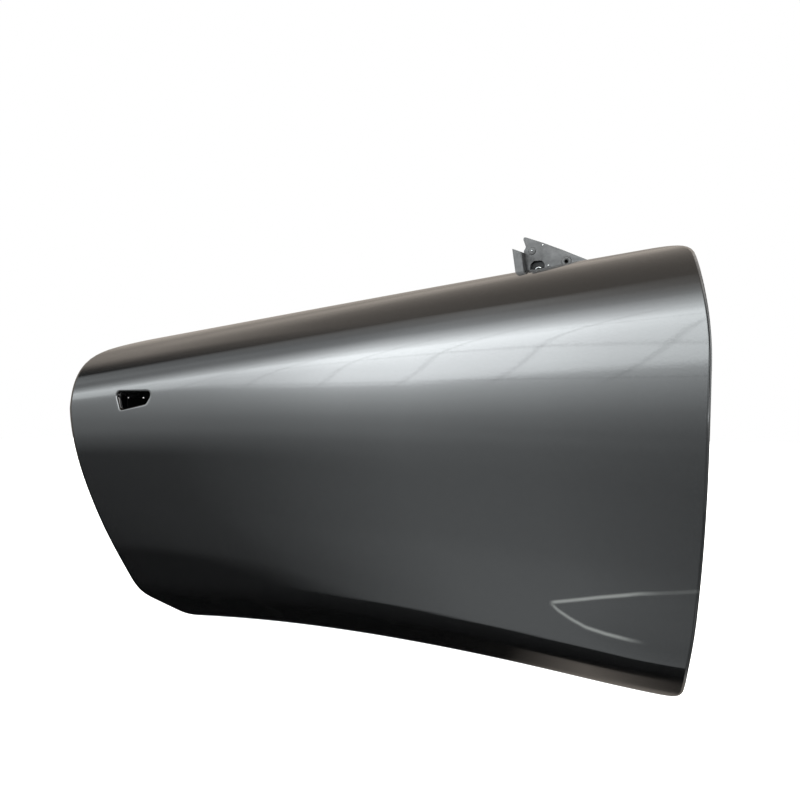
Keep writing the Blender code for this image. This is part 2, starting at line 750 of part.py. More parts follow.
def handle_lip(sheet, block):
    ring = ring_of(block)
    columns, rows = block.shape[1] - 1, block.shape[0] - 1
    steps = 3
    outline = split_sides(handle_outline(steps=steps), (0, 2), columns - steps, steps)
    outline = split_sides_again(outline, len(ring))
    places = np.array([(sheet.points[i][0], sheet.points[i][2]) for i in ring])
    outline = np.roll(outline, -best_turn(places, np.array(outline)), axis=0)
    v = arc_share_at(outline[:, 0], outline[:, 1])
    points, normals = skin(outline[:, 0], v), skin_normal(outline[:, 0], v)
    edge = sheet.row(points, normals)
    sheet.strip(ring, edge, closed=True)
    off = -edge_directions(points, normals)
    turn = np.full(len(edge), LIP_TURN)
    last, way, side = fold(sheet, edge, points, normals, off, LIP_RADIUS, turn, steps)
    end = sheet.row(np.array([sheet.points[i] for i in last]) + way * LIP_DEPTH, side)
    sheet.strip(last, end, closed=True)


def split_sides_again(outline, count):
    """Outline with its longest sides halved until it has count points."""
    outline = list(outline)
    while len(outline) < count:
        gaps = [math.dist(a, b) for a, b in zip(outline, outline[1:] + outline[:1])]
        i = int(np.argmax(gaps))
        after = outline[(i + 1) % len(outline)]
        outline.insert(i + 1, tuple(np.add(outline[i], after) / 2))
    return outline[:count]


def skin_folds(sheet, grid, x, v):
    """Hem round the rear, sill and front edges, and a turned-down flange at the belt."""
    ring = ring_of(grid)
    order = [np.argwhere(grid == i)[0] for i in ring]
    ex, ev = np.array([x[i, j] for i, j in order]), np.array([v[i, j] for i, j in order])
    points = np.array([sheet.points[i] for i in ring])
    normals = np.array([sheet.normals[i] for i in ring])
    off = edge_directions(points, normals)
    hem = hem_share(ex, ev)
    turn = BELT_TURN + (HEM_TURN - BELT_TURN) * hem
    hem_radius = (2 * SKIN_GAUGE + PANEL_GAUGE + 2 * HEM_GAP) / 2
    radius = (BELT_FOLD_RADIUS + (hem_radius - BELT_FOLD_RADIUS) * hem)[:, None]
    last, way, side = fold(sheet, ring, points, normals, off, radius, turn, FOLD_STEPS)
    flat = np.stack((ex, ev * ARC_LENGTH), axis=1)
    along = np.roll(flat, -1, axis=0) - np.roll(flat, 1, axis=0)
    inward = np.stack((-along[:, 1], along[:, 0]), axis=1) / np.linalg.norm(along, axis=1)[:, None]
    under = flat + inward * HEM_RETURN
    ux, uv = under[:, 0], under[:, 1] / ARC_LENGTH
    hemmed = skin(ux, uv, np.full(len(ux), 2 * hem_radius))
    flanged = np.array([sheet.points[i] for i in last]) + way * BELT_FLANGE
    share = hem[:, None]
    end_side = side * (1 - share) - skin_normal(ux, uv) * share
    end_side /= np.linalg.norm(end_side, axis=1)[:, None]
    end = sheet.row(flanged * (1 - share) + hemmed * share, end_side)
    sheet.strip(last, end, closed=True)


def hem_share(x, v):
    """1 where the skin's edge is hemmed, 0 where it is the belt flange."""
    rear = 1 - TOP_REAR_CORNER / ARC_LENGTH
    front = 1 - TOP_FRONT_CORNER / ARC_LENGTH
    start = np.where(length_share(x) < 0, rear, front)
    return 1 - ease((v - start) / (1 - start) * FLANGE_REACH_SHARE)


def edge_curve(edge):
    """Height and x of a skin edge seen from the side."""
    points = skin(edge(ARC), ARC)
    return points[:, 2], points[:, 0]


REAR_CURVE = edge_curve(rear_edge)
FRONT_CURVE = edge_curve(front_edge)
LOOP_ROWS = [s for s in MIDDLE_ROW_SHARES if LOOP_LOW_SHARE < s < LOOP_HIGH_SHARE]
LOW_ROWS = [s for s in MIDDLE_ROW_SHARES if s < LOOP_LOW_SHARE]
LOOP_COLUMNS = 24
SHELF_COLUMNS = 4
HEM_CORNER_STEPS = 6
CORNER_STEPS = HEM_CORNER_STEPS + len(LOW_ROWS)


def rear_wall_x(z, inset):
    return np.maximum(np.interp(z, *REAR_CURVE) + WALL_INSET, LATCH_WALL_X) + inset


def front_wall_x(z, inset):
    return np.minimum(np.interp(z, *FRONT_CURVE) - WALL_INSET, -PANEL_GAUGE) - inset


def rounded(start, corner, end, steps=CORNER_STEPS):
    """Points between start and end on a curve that rounds the corner."""
    t = np.linspace(0, 1, steps + 1)[1:-1, None]
    start, corner, end = [np.array(p, float) for p in (start, corner, end)]
    return (1 - t) ** 2 * start + 2 * t * (1 - t) * corner + t ** 2 * end


def panel_loop(inset, rise, drop, reach, rows=None):
    """Closed loop of the inner panel seen from the side, as (x, z): rear shelf, rear,
    sill, front, front shelf and window slot in turn."""
    spots = {}
    sides = {'rear': (rear_wall_x, 1), 'front': (front_wall_x, -1)}
    for side, (wall, way) in sides.items():
        low = sill_z(wall(-HINGE_HEIGHT / 2, inset)) + rise
        high = belt_z(wall(0.0, inset)) - drop
        heights = rows[side] if rows else np.linspace(low + reach, high - reach, len(LOOP_ROWS))
        spots[side] = np.stack((wall(heights, inset), heights), axis=1)
        foot_x, head_x = wall(low, inset), wall(high, inset)
        spots[side + '_foot'] = (foot_x, sill_z(foot_x) + rise)
        spots[side + '_head'] = (head_x, belt_z(head_x) - drop)
        spots[side + '_sill_x'] = foot_x + way * max(reach, PANEL_CORNER)
        spots[side + '_belt_x'] = head_x + way * max(reach, PANEL_CORNER)
    sill_x = np.linspace(spots['rear_sill_x'], spots['front_sill_x'], LOOP_COLUMNS)
    sill = np.stack((sill_x, sill_z(sill_x) + rise), axis=1)
    belt = lambda xs: np.stack((xs, belt_z(xs) - drop), axis=1)
    rear_shelf = belt(np.linspace(SLOT_REAR_X, spots['rear_belt_x'], SHELF_COLUMNS))
    front_shelf = belt(np.linspace(spots['front_belt_x'], SLOT_FRONT_X, SHELF_COLUMNS))
    slot = belt(np.linspace(SLOT_FRONT_X, SLOT_REAR_X, LOOP_COLUMNS)[1:-1])
    rear, front = spots['rear'][::-1], spots['front']
    parts = [('rear_shelf', rear_shelf),
             ('rear_top', rounded(rear_shelf[-1], spots['rear_head'], rear[0])), ('rear', rear),
             ('rear_low', rounded(rear[-1], spots['rear_foot'], sill[0])), ('sill', sill),
             ('front_low', rounded(sill[-1], spots['front_foot'], front[0])), ('front', front),
             ('front_top', rounded(front[-1], spots['front_head'], front_shelf[0])),
             ('front_shelf', front_shelf), ('slot', slot)]
    places, start = {}, 0
    for name, spots_of in parts:
        places[name] = (start, start + len(spots_of))
        start += len(spots_of)
    return np.vstack([p for _, p in parts]), places


def wall_rows():
    """Heights of the skin's rows on the rear and front edges."""
    rows = np.array(LOOP_ROWS)
    return {side: skin(edge(rows), rows)[:, 2] for side, edge in (('rear', rear_edge), ('front', front_edge))}


def belt_flange_y(x):
    """Cabin side of the skin's belt flange."""
    ones = np.ones_like(x)
    point, normal = skin(x, ones), skin_normal(x, ones)
    off = np.stack((np.zeros_like(x), normal[:, 2], -normal[:, 1]), axis=1)
    turn = math.radians(BELT_TURN)
    side = normal * math.cos(turn) + off * math.sin(turn)
    return (point - normal * BELT_FOLD_RADIUS + side * BELT_FOLD_RADIUS)[:, 1]


def wall_foot(loop, places):
    """Outboard edge of the panel's wall: under the skin at the sides and the sill, and
    beside the belt flange along the shelves."""
    under = layer_y(loop[:, 0], loop[:, 1], WALL_FOOT_DEPTH)
    beside = belt_flange_y(loop[:, 0]) + HEM_GAP
    share = np.zeros(len(loop))
    for name in ('rear_shelf', 'front_shelf'):
        share[slice(*places[name])] = 1.0
    fall = np.linspace(1, 0, CORNER_STEPS + 1)[1:-1]
    share[slice(*places['rear_top'])] = ease(fall)
    share[slice(*places['front_top'])] = ease(fall[::-1])
    return under * (1 - share) + beside * share


def hem_loop(inset, places, loop):
    """Loop of the hem flange on the skin, as (x, arc share): rear, sill and front."""
    sill_x = loop[slice(*places['sill']), 0]
    low = inset / ARC_LENGTH
    sill = np.stack((sill_x, np.full(len(sill_x), low)), axis=1)
    rear, rear_corner = hem_side(inset, rear_edge, 1, SILL_REAR_CORNER)
    front, front_corner = hem_side(inset, front_edge, -1, SILL_FRONT_CORNER)
    return np.vstack((rear, rear_corner, sill, front_corner[::-1], front[::-1]))


def hem_side(inset, edge, way, reach):
    """One side of the hem flange from the top down, and its corner at the sill."""
    rows = np.array(LOOP_ROWS + LOW_ROWS)
    rows = np.sort(rows)[::-1]
    slope = np.sqrt(1 + (np.gradient(edge(rows), rows) / ARC_LENGTH) ** 2)
    side = np.stack((edge(rows) + way * inset * slope, rows), axis=1)
    low = inset / ARC_LENGTH
    run = max(reach - inset, HEM_LEAST_CORNER)
    top = low + run / ARC_LENGTH
    over = way * inset * slope[-1]
    foot = (edge(low) + over, low)
    corner = rounded((edge(top) + over, top), foot, (foot[0] + way * run, low), HEM_CORNER_STEPS)
    count = len(LOOP_ROWS)
    return side[:count], np.vstack((side[count:], corner))


def inner_panel():
    """Inner panel: hem flange, wall, seal ledge and face in one pressed sheet, with a
    shelf at each end of the window slot, rebated openings and stiffening beads."""
    sheet = Sheet()
    loop, places = panel_loop(0.0, FOOT_RISE, SHELF_DROP, PANEL_CORNER, wall_rows())
    foot_y = wall_foot(loop, places)
    ledge = sheet.row(flat_points(loop, LEDGE_Y))
    foot = sheet.row(np.stack((loop[:, 0], foot_y, loop[:, 1]), axis=1))
    around = list(range(places['slot'][0]))
    sheet.strip([foot[i] for i in around], [ledge[i] for i in around])
    hem_flange(sheet, loop, places, foot)
    shelf_flanges(sheet, loop, places, foot, foot_y)
    inner = []
    for inset, y in ((LEDGE_WIDTH, LEDGE_Y), (LEDGE_WIDTH + FACE_RAMP, FACE_Y)):
        extra = inset - LEDGE_WIDTH
        spots, _ = panel_loop(inset, FOOT_RISE + inset, SHELF_DROP + BELT_STRIP + extra, FACE_CORNER)
        inner.append(sheet.row(flat_points(spots, y)))
    sheet.strip(ledge, inner[0], closed=True)
    sheet.strip(inner[0], inner[1], closed=True)
    belt_lip(sheet, loop, places, ledge)
    holes = [rebated(sheet, outline, closed) for outline, closed in face_features()]
    sheet.fan(inner[1], holes, FACE_Y)
    body = pressed("inner_panel", sheet, PANEL_GAUGE, (0, 1, 0), PAINT)
    return drill(body, panel_holes())


def flat_points(spots, y):
    spots = np.asarray(spots)
    return np.stack((spots[:, 0], np.full(len(spots), y), spots[:, 1]), axis=1)


def hem_flange(sheet, loop, places, foot):
    depth = SKIN_GAUGE + HEM_GAP
    insets = (HEM_CLEARANCE, (HEM_CLEARANCE + FLANGE_WIDTH) / 2, FLANGE_WIDTH)
    loops = [hem_loop(inset, places, loop) for inset in insets]
    rows = [sheet.row(skin(e[:, 0], e[:, 1], np.full(len(e), depth))) for e in loops]
    rows.append(foot[places['rear'][0]:places['front'][1]])
    for one, other in zip(rows, rows[1:]):
        sheet.strip(one, other)


def shelf_flanges(sheet, loop, places, foot, foot_y):
    """Flange turned up beside the skin's belt flange at each end of the slot."""
    for name in ('rear_shelf', 'front_shelf'):
        part = slice(*places[name])
        x, z = loop[part, 0], loop[part, 1] + SHELF_FLANGE
        top = sheet.row(np.stack((x, foot_y[part], z), axis=1))
        sheet.strip(top, foot[part])


def belt_lip(sheet, loop, places, ledge):
    """Lip turned to the cabin along the window slot."""
    part = slice(places['slot'][0], places['slot'][1])
    lip = sheet.row(flat_points(loop[part], LEDGE_Y + BELT_LIP))
    sheet.strip(lip, ledge[part])


def rebated(sheet, outline, closed):
    """Ring round an opening pressed back from the face; a closed one is a bead."""
    corners, radius = outline
    steps_round = SPEAKER_SIDES // 4 if radius > OPENING_RADIUS else ROUND_STEPS
    if closed:
        steps = ((0.0, 0.0), (-BEAD_RAMP, -BEAD_HEIGHT))
    else:
        wide = REBATE_WIDTH + REBATE_RAMP
        steps = ((wide, 0.0), (REBATE_WIDTH, -REBATE_DEPTH), (0.0, -REBATE_DEPTH))
    rings = []
    for spread, move in steps:
        spots = round_outline(spread_corners(corners, spread), radius + spread, steps_round)
        rings.append(sheet.row(flat_points(spots, FACE_Y + move)))
    for one, other in zip(rings, rings[1:]):
        sheet.strip(one, other, closed=True)
    if closed:
        sheet.fan(rings[-1], [], FACE_Y - BEAD_HEIGHT)
    return rings[0]


def face_features():
    """Corners and radius of each opening and bead of the face."""
    low, high = [face_point(1 + HINGE_OPENING_X / -LATCH_WALL_X, s)[1] for s in HINGE_OPENING_PLACE_SHARES]
    rear, front = about(HINGE_OPENING_X, HINGE_OPENING_LENGTH)
    openings = [[face_point(*s) for s in FRONT_OPENING_SHARES], [face_point(*s) for s in REAR_OPENING_SHARES],
                [(rear, low), (front, low), (front, high), (rear, high)]]
    out = [((corners, OPENING_RADIUS), False) for corners in openings]
    speaker = rectangle(face_point(*SPEAKER_PLACE_SHARES), (2 * SPEAKER_RADIUS, 2 * SPEAKER_RADIUS))
    out.append(((speaker, SPEAKER_RADIUS * ROUND_END_SHARE), False))
    return out + [((bead_corners(*ends), BEAD_WIDTH / 2 * ROUND_END_SHARE), True) for ends in BEAD_PLACE_SHARES]


def bead_corners(start, end):
    """Corners of a straight bead, anticlockwise."""
    start, end = [np.array(face_point(*spot)) for spot in (start, end)]
    along = (end - start) / np.linalg.norm(end - start)
    side = np.array((-along[1], along[0])) * BEAD_WIDTH / 2
    return [tuple(p) for p in (start - side, end - side, end + side, start + side)]


def clip_spots():
    """Places of the trim clips' holes, a fixed way inside the edge of the face."""
    inset = LEDGE_WIDTH + FACE_RAMP + CLIP_INSET
    spots, places = panel_loop(inset, FOOT_RISE + inset, SHELF_DROP + BELT_STRIP + FACE_RAMP + CLIP_INSET, FACE_CORNER)
    out = []
    for name, shares in CLIP_PLACE_SHARES:
        start, end = places[name]
        out += [tuple(spots[start + int(share * (end - start - 1))]) for share in shares]
    return out


def panel_holes():
    """Small holes of the inner panel's walls and sill."""
    holes = []
    for z in (UPPER_HINGE_Z, LOWER_HINGE_Z):
        for way in (-1, 1):
            spot = (0.0, HINGE_PAD_Y, z + way * HINGE_BOLT_SPACING / 2)
            holes.append((spot, 'X', HINGE_BOLT_BORE, HINGE_BOLT_BORE, CUT_REACH))
    holes += check_holes()
    holes.append(((0.0, HINGE_PAD_Y, GROMMET_Z), 'X', GROMMET_BORE, GROMMET_BORE, CUT_REACH))
    holes += [((x, FACE_Y, z), 'Y', CLIP_BORE, CLIP_BORE, CUT_REACH) for x, z in clip_spots()]
    for share in DRAIN_PLACE_SHARES:
        x = LATCH_WALL_X * (1 - share)
        spot = (x, DRAIN_Y, float(sill_z(x)) + FOOT_RISE)
        holes.append((spot, 'Z', DRAIN_WIDTH, DRAIN_LENGTH, CUT_REACH))
    return holes + latch_holes()


def check_holes():
    holes = [((0.0, HINGE_PAD_Y, CHECK_Z), 'X', CHECK_SLOT_WIDTH, CHECK_SLOT_HEIGHT, CUT_REACH)]
    for way in (-1, 1):
        spot = (0.0, HINGE_PAD_Y, CHECK_Z + way * CHECK_BOLT_SPACING / 2)
        holes.append((spot, 'X', CHECK_BOLT_BORE, CHECK_BOLT_BORE, CUT_REACH))
    return holes


def latch_holes():
    holes = [((LATCH_WALL_X, LATCH_Y, LATCH_Z), 'X', LATCH_SLOT_WIDTH, LATCH_SLOT_HEIGHT, CUT_REACH)]
    for a, b in LATCH_BOLT_SHARES:
        spot = (LATCH_WALL_X, LATCH_Y + LATCH_BRACE_WIDTH * a, LATCH_Z + LATCH_BRACE_HEIGHT * b)
        holes.append((spot, 'X', LATCH_BOLT_BORE, LATCH_BOLT_BORE, CUT_REACH))
    return holes


def bent(corners, radius):
    """Open path with an arc at each inner corner."""
    out = [tuple(corners[0])]
    for before, corner, after in zip(corners, corners[1:], corners[2:]):
        corner = Vector(corner)
        back, ahead = (Vector(before) - corner).normalized(), (Vector(after) - corner).normalized()
        half = math.acos(max(-1.0, min(1.0, back.dot(ahead)))) / 2
        start, end = [corner + way * (radius / math.tan(half)) for way in (back, ahead)]
        centre = corner + (back + ahead).normalized() * (radius / math.sin(half))
        turn = (start - centre).angle_signed(end - centre)
        for n in range(BEND_STEPS + 1):
            out.append(tuple(centre + Matrix.Rotation(-turn * n / BEND_STEPS, 2) @ (start - centre)))
    return out + [tuple(corners[-1])]


def swept(name, lines, gauge, toward, finish):
    """Sheet through a row of lines, its gauge added on the side of toward."""
    sheet = Sheet()
    rows = [sheet.row(line) for line in lines]
    for one, other in zip(rows, rows[1:]):
        sheet.strip(one, other)
    return pressed(name, sheet, gauge, toward, finish)


def wall_brace(name, wall_x, way, sides, heights, leg, gauge):
    """Channel section lying on a wall, its legs standing off it along way."""
    path = bent([(leg, sides[0]), (0.0, sides[0]), (0.0, sides[1]), (leg, sides[1])], BRACE_BEND)
    lines = [[(wall_x + way * run, y, z) for z in heights] for run, y in path]
    return swept(name, lines, gauge, (way, 0, 0), COATED)


def block_body(name, low, high, finish):
    points = [(x, y, z) for x in (low[0], high[0]) for y in (low[1], high[1]) for z in (low[2], high[2])]
    faces = [(0, 1, 3, 2), (4, 6, 7, 5), (0, 4, 5, 1), (2, 3, 7, 6), (0, 2, 6, 4), (1, 5, 7, 3)]
    return make_object(name, points, faces, finish)


def front_seat():
    """Where a part lies on the cavity side of the front wall."""
    return -PANEL_GAUGE - SEAT_GAP


def rear_seat():
    return LATCH_WALL_X + SEAT_GAP


def ledge_seat():
    return LEDGE_Y - SEAT_GAP


def hinge_braces():
    """Channels behind the two hinge pads, each with a plate the bolts thread into."""
    for name, z in (("upper", UPPER_HINGE_Z), ("lower", LOWER_HINGE_Z)):
        sides = (ledge_seat() - HINGE_BRACE_WIDTH, ledge_seat())
        body = wall_brace(name + "_hinge_reinforcement", front_seat(), -1, sides,
                          about(z, HINGE_BRACE_HEIGHT), HINGE_BRACE_FLANGE, HINGE_BRACE_GAUGE)
        bolts = [(HINGE_PAD_Y, z + way * HINGE_BOLT_SPACING / 2) for way in (-1, 1)]
        drill(body, [((0.0, y, h), 'X', HINGE_BOLT_BORE, HINGE_BOLT_BORE, CUT_REACH) for y, h in bolts])
        high_x = front_seat() - HINGE_BRACE_GAUGE - SEAT_GAP
        across, along = about(HINGE_PAD_Y, NUT_PLATE_WIDTH), about(z, NUT_PLATE_HEIGHT)
        plate = block_body(name + "_hinge_nut_plate", (high_x - NUT_PLATE_THICKNESS, across[0], along[0]),
                           (high_x, across[1], along[1]), STEEL)
        reach = HINGE_BRACE_FLANGE
        drill(plate, [((0.0, y, h), 'X', HINGE_NUT_BORE, HINGE_NUT_BORE, reach) for y, h in bolts])


def check_brace():
    """Plate behind the check strap's slot."""
    sides = about(HINGE_PAD_Y, CHECK_BRACE_WIDTH)
    body = wall_brace("check_strap_reinforcement", front_seat(), -1, sides,
                      about(CHECK_Z, CHECK_BRACE_HEIGHT), LATCH_BRACE_LEG, BRACE_GAUGE)
    drill(body, check_holes())


def latch_brace():
    """Plate behind the latch's opening, turned in along the seal ledge."""
    sides = (LATCH_Y - LATCH_BRACE_WIDTH / 2, ledge_seat())
    body = wall_brace("latch_reinforcement", rear_seat(), 1, sides,
                      about(LATCH_Z, LATCH_BRACE_HEIGHT), LATCH_BRACE_LEG, BRACE_GAUGE)
    drill(body, latch_holes())


def belt_line(stations, offset_y, offset_z):
    return np.stack((stations, offset_y, belt_z(stations) + offset_z), axis=1)


def outer_belt_brace():
    """Reinforcement along the outboard side of the skin's belt flange."""
    x = np.linspace(SLOT_REAR_X - BELT_BRACE_END, SLOT_FRONT_X + BELT_BRACE_END, BELT_BRACE_STEPS)
    seat = belt_flange_y(x) - SKIN_GAUGE - SEAT_GAP
    low = -BELT_BRACE_TOP - BELT_BRACE_HEIGHT
    path = bent([(0.0, -BELT_BRACE_TOP), (0.0, low), (-BELT_BRACE_SHELF, low),
                 (-BELT_BRACE_SHELF, low - BELT_BRACE_TAIL)], BRACE_BEND)
    lines = [belt_line(x, seat + y, z) for y, z in path]
    return swept("outer_belt_reinforcement", lines, BRACE_GAUGE, (0, -1, 0), COATED)


def hat_path(foot, ramp, crown, height):
    """Half widths and heights of a hat section, from one foot to the other."""
    half = crown / 2
    return [(half + ramp + foot, 0.0), (half + ramp, 0.0), (half, height),
            (-half, height), (-half - ramp, 0.0), (-half - ramp - foot, 0.0)]


def crown_z(x):
    """Height of the middle of the inner belt reinforcement."""
    return belt_z(x) - SHELF_DROP - BELT_STRIP / 2


def crown_seat():
    """Where a part lies on the outboard side of the inner belt reinforcement's crown."""
    return ledge_seat() - INNER_BRACE_HAT - BRACE_GAUGE - SEAT_GAP


def inner_belt_brace():
    """Hat section welded behind the belt strip of the inner panel."""
    x = np.linspace(SLOT_REAR_X, SLOT_FRONT_X, BELT_BRACE_STEPS)
    path = hat_path(INNER_BRACE_FOOT, INNER_BRACE_RAMP, INNER_BRACE_CROWN, INNER_BRACE_HAT)
    path = bent(path, BRACE_GAUGE)
    lines = [np.stack((x, np.full(len(x), ledge_seat() - y), crown_z(x) + z), axis=1) for z, y in path]
    body = swept("inner_belt_reinforcement", lines, BRACE_GAUGE, (0, -1, 0), COATED)
    spots = mirror_bolt_spots()
    drill(body, [((x, crown_seat(), z), 'Y', MIRROR_BOLT_BORE, MIRROR_BOLT_BORE, CUT_REACH) for x, z in spots])


def ring_points(centre, across, up, radius, sides):
    turns = np.linspace(0, 2 * math.pi, sides, endpoint=False)[:, None]
    return centre + radius * (np.cos(turns) * across + np.sin(turns) * up)


def beam():
    """Round tube behind the skin from wall to wall."""
    start = np.array((LATCH_WALL_X + BEAM_END_GAP, BEAM_Y, BEAM_REAR_Z))
    end = np.array((front_seat() - BEAM_END_GAP, BEAM_Y, BEAM_FRONT_Z))
    across = np.array((0.0, 1.0, 0.0))
    up = np.cross(end - start, across)
    up /= np.linalg.norm(up)
    rings = [ring_points(c, across, up, r, BEAM_SIDES)
             for c, r in ((start, BEAM_RADIUS), (end, BEAM_RADIUS), (end, BEAM_RADIUS - BEAM_WALL),
                          (start, BEAM_RADIUS - BEAM_WALL))]
    faces = []
    for n in range(len(rings)):
        one, other = n * BEAM_SIDES, (n + 1) % len(rings) * BEAM_SIDES
        faces += [(one + i - 1, one + i, other + i, other + i - 1) for i in range(1, BEAM_SIDES)]
        faces.append((one + BEAM_SIDES - 1, one, other, other + BEAM_SIDES - 1))
    return make_object("intrusion_beam", np.vstack(rings), faces, COATED)


def beam_z(x):
    """Height of the beam's middle line."""
    rear, front = LATCH_WALL_X + BEAM_END_GAP, front_seat() - BEAM_END_GAP
    return BEAM_REAR_Z + (BEAM_FRONT_Z - BEAM_REAR_Z) * (x - rear) / (front - rear)


def beam_brackets():
    """Angle at each end of the beam: one leg on the wall, one along the beam."""
    arm_y = BEAM_Y + BEAM_RADIUS + SEAT_GAP
    for name, wall_x, way in (("front", front_seat(), -1), ("rear", rear_seat(), 1)):
        path = bent([(0.0, arm_y + BEAM_BRACKET_FLANGE), (0.0, arm_y), (BEAM_BRACKET_ARM, arm_y)], BRACE_BEND)
        middle = beam_z(wall_x + way * BEAM_BRACKET_ARM / 2)
        lines = [[(wall_x + way * run, y, z) for z in about(middle, BEAM_BRACKET_HEIGHT)] for run, y in path]
        swept("beam_bracket_" + name, lines, BRACE_GAUGE, (way, 1, 0), COATED)


def grid_body(name, outer, inner, finish):
    """Body between two matching grids of points."""
    rows, columns = outer.shape[:2]
    index = np.arange(rows * columns).reshape(rows, columns)
    faces = [(int(index[i, j]), int(index[i, j + 1]), int(index[i + 1, j + 1]), int(index[i + 1, j]))
             for i in range(rows - 1) for j in range(columns - 1)]
    solid = closed_mesh(outer.reshape(-1, 3), inner.reshape(-1, 3), faces)
    return make_object(name, *solid, finish)


def mastic_pads():
    """Blobs of mastic between the skin and the beam."""
    for name, share in zip(("rear", "middle", "front"), MASTIC_PLACE_SHARES):
        middle = LATCH_WALL_X * (1 - share)
        x, z = np.meshgrid(np.linspace(*about(middle, MASTIC_LENGTH), PAD_COLUMNS),
                           np.linspace(*about(beam_z(middle), MASTIC_HEIGHT), PAD_ROWS))
        v = arc_share_at(x.ravel(), z.ravel())
        outer = skin(x.ravel(), v, np.full(x.size, SKIN_GAUGE + SEAT_GAP))
        inner = outer.copy()
        inner[:, 1] = BEAM_Y - BEAM_RADIUS - SEAT_GAP
        shape = x.shape + (3,)
        grid_body("mastic_pad_" + name, outer.reshape(shape), inner.reshape(shape), MASTIC)


def damping_pads():
    """Bitumen sheets stuck to the inside of the skin, below the beam."""
    for name, share in (("front", FRONT_PAD_PLACE_SHARE), ("rear", REAR_PAD_PLACE_SHARE)):
        x = np.linspace(*about(LATCH_WALL_X * (1 - share), PAD_LENGTH), PAD_COLUMNS * 2)
        top = arc_share_at(x, beam_z(x) - BEAM_RADIUS - PAD_CLEARANCE)
        v = np.linspace(top - PAD_HEIGHT / ARC_LENGTH, top, PAD_ROWS + 1)
        x = np.broadcast_to(x, v.shape)
        layers = [skin(x, v, np.full(x.size, depth)).reshape(x.shape + (3,))
                  for depth in (SKIN_GAUGE + PAD_GAP, SKIN_GAUGE + PAD_GAP + PAD_THICKNESS)]
        grid_body("damping_pad_" + name, *layers, BITUMEN)


def handle_brace():
    """Reinforcement behind the skin round the handle's opening, its own opening flanged."""
    seat = SKIN_GAUGE + HANDLE_BRACE_GAP
    inner = HANDLE_BRACE_MARGIN - HANDLE_BRACE_SEAT
    steps = ((HANDLE_BRACE_MARGIN, seat), ((HANDLE_BRACE_MARGIN + inner) / 2, seat), (inner, seat),
             (inner - HANDLE_BRACE_RAMP, seat + HANDLE_BRACE_RELIEF),
             (HANDLE_BRACE_CLEARANCE, seat + HANDLE_BRACE_RELIEF))
    sheet = Sheet()
    rows = []
    for spread, depth in steps:
        spots = np.array(split_sides(handle_outline(spread), (0, 1, 2, 3), HANDLE_BRACE_PARTS))
        v = arc_share_at(spots[:, 0], spots[:, 1])
        points, normals = skin(spots[:, 0], v, np.full(len(v), depth)), skin_normal(spots[:, 0], v)
        rows.append(sheet.row(points))
    rows.append(sheet.row(points - normals * HANDLE_BRACE_FLANGE))
    for one, other in zip(rows, rows[1:]):
        sheet.strip(one, other, closed=True)
    pressed("handle_reinforcement", sheet, BRACE_GAUGE, (0, 1, 0), COATED)


def channel_point(x, top_z, length, way, along, across, side):
    """Point of a glass channel: along it from the top, across its depth, and to the side."""
    lean_angle = math.radians(CHANNEL_LEAN)
    bow = (CHANNEL_LOW_Y - CHANNEL_Y) * (along / length) ** 2
    return (x + along * math.sin(lean_angle) + way * across * math.cos(lean_angle), CHANNEL_Y + bow + side,
            top_z - along * math.cos(lean_angle) + way * across * math.sin(lean_angle))


def glass_channel(name, x, top_z, length, way, cut):
    half = CHANNEL_WIDTH / 2
    path = bent([(0.0, -half), (CHANNEL_DEPTH, -half), (CHANNEL_DEPTH, half), (0.0, half)], CHANNEL_BEND)
    lines = []
    for across, side in path:
        start = cut * across / CHANNEL_DEPTH
        places = np.linspace(start, length, CHANNEL_STEPS + 1)
        lines.append([channel_point(x, top_z, length, way, t, across, side) for t in places])
    swept(name, lines, CHANNEL_GAUGE, (-way, 0, 0), COATED)


def channel_foot(name, x, top_z, length, way):
    """Angle that ties the channel's web to the face of the inner panel."""
    seat = CHANNEL_DEPTH + SEAT_GAP
    middle = (top_z - CHANNEL_FOOT_RISE + HINGE_HEIGHT) / math.cos(math.radians(CHANNEL_LEAN))
    half = CHANNEL_WIDTH / 2
    face = FACE_Y - SEAT_GAP - CHANNEL_GAUGE
    ends = about(middle, CHANNEL_FOOT_HEIGHT)
    low_y = channel_point(x, top_z, length, way, middle, seat, -half)[1]
    path = bent([(seat, low_y), (seat, face), (seat - CHANNEL_FOOT_LENGTH, face)], CHANNEL_BEND)
    lines = []
    for across, y in path:
        spots = [channel_point(x, top_z, length, way, t, across, 0.0) for t in ends]
        lines.append([(px, y, pz) for px, _, pz in spots])
    swept(name, lines, CHANNEL_GAUGE, (way, 1, 0), COATED)


def channel_spacer(name, x, top_z, length, way):
    """Block between the channel and the inner belt reinforcement."""
    along = (top_z - crown_z(x)) / math.cos(math.radians(CHANNEL_LEAN))
    side = CHANNEL_WIDTH / 2 + SEAT_GAP
    ends = [channel_point(x, top_z, length, way, along, CHANNEL_DEPTH * s, side) for s in SPACER_SHARES]
    low_x, high_x = sorted(e[0] for e in ends)
    low_z, high_z = about(float(crown_z((low_x + high_x) / 2)), SPACER_HEIGHT)
    block_body(name, (low_x, ends[0][1], low_z), (high_x, crown_seat(), high_z), COATED)


def glass_channels():
    sets = (("front", FRONT_CHANNEL_X, FRONT_CHANNEL_RISE, FRONT_CHANNEL_LENGTH, 1, CHANNEL_CUT),
            ("rear", REAR_CHANNEL_X, -REAR_CHANNEL_DROP, REAR_CHANNEL_LENGTH, -1, 0.0))
    for name, x, rise, length, way, cut in sets:
        top_z = over_belt(x, rise)
        glass_channel(name + "_glass_channel", x, top_z, length, way, cut)
        channel_foot(name + "_channel_foot", x, top_z, length, way)
        channel_spacer(name + "_channel_spacer", x, top_z, length, way)


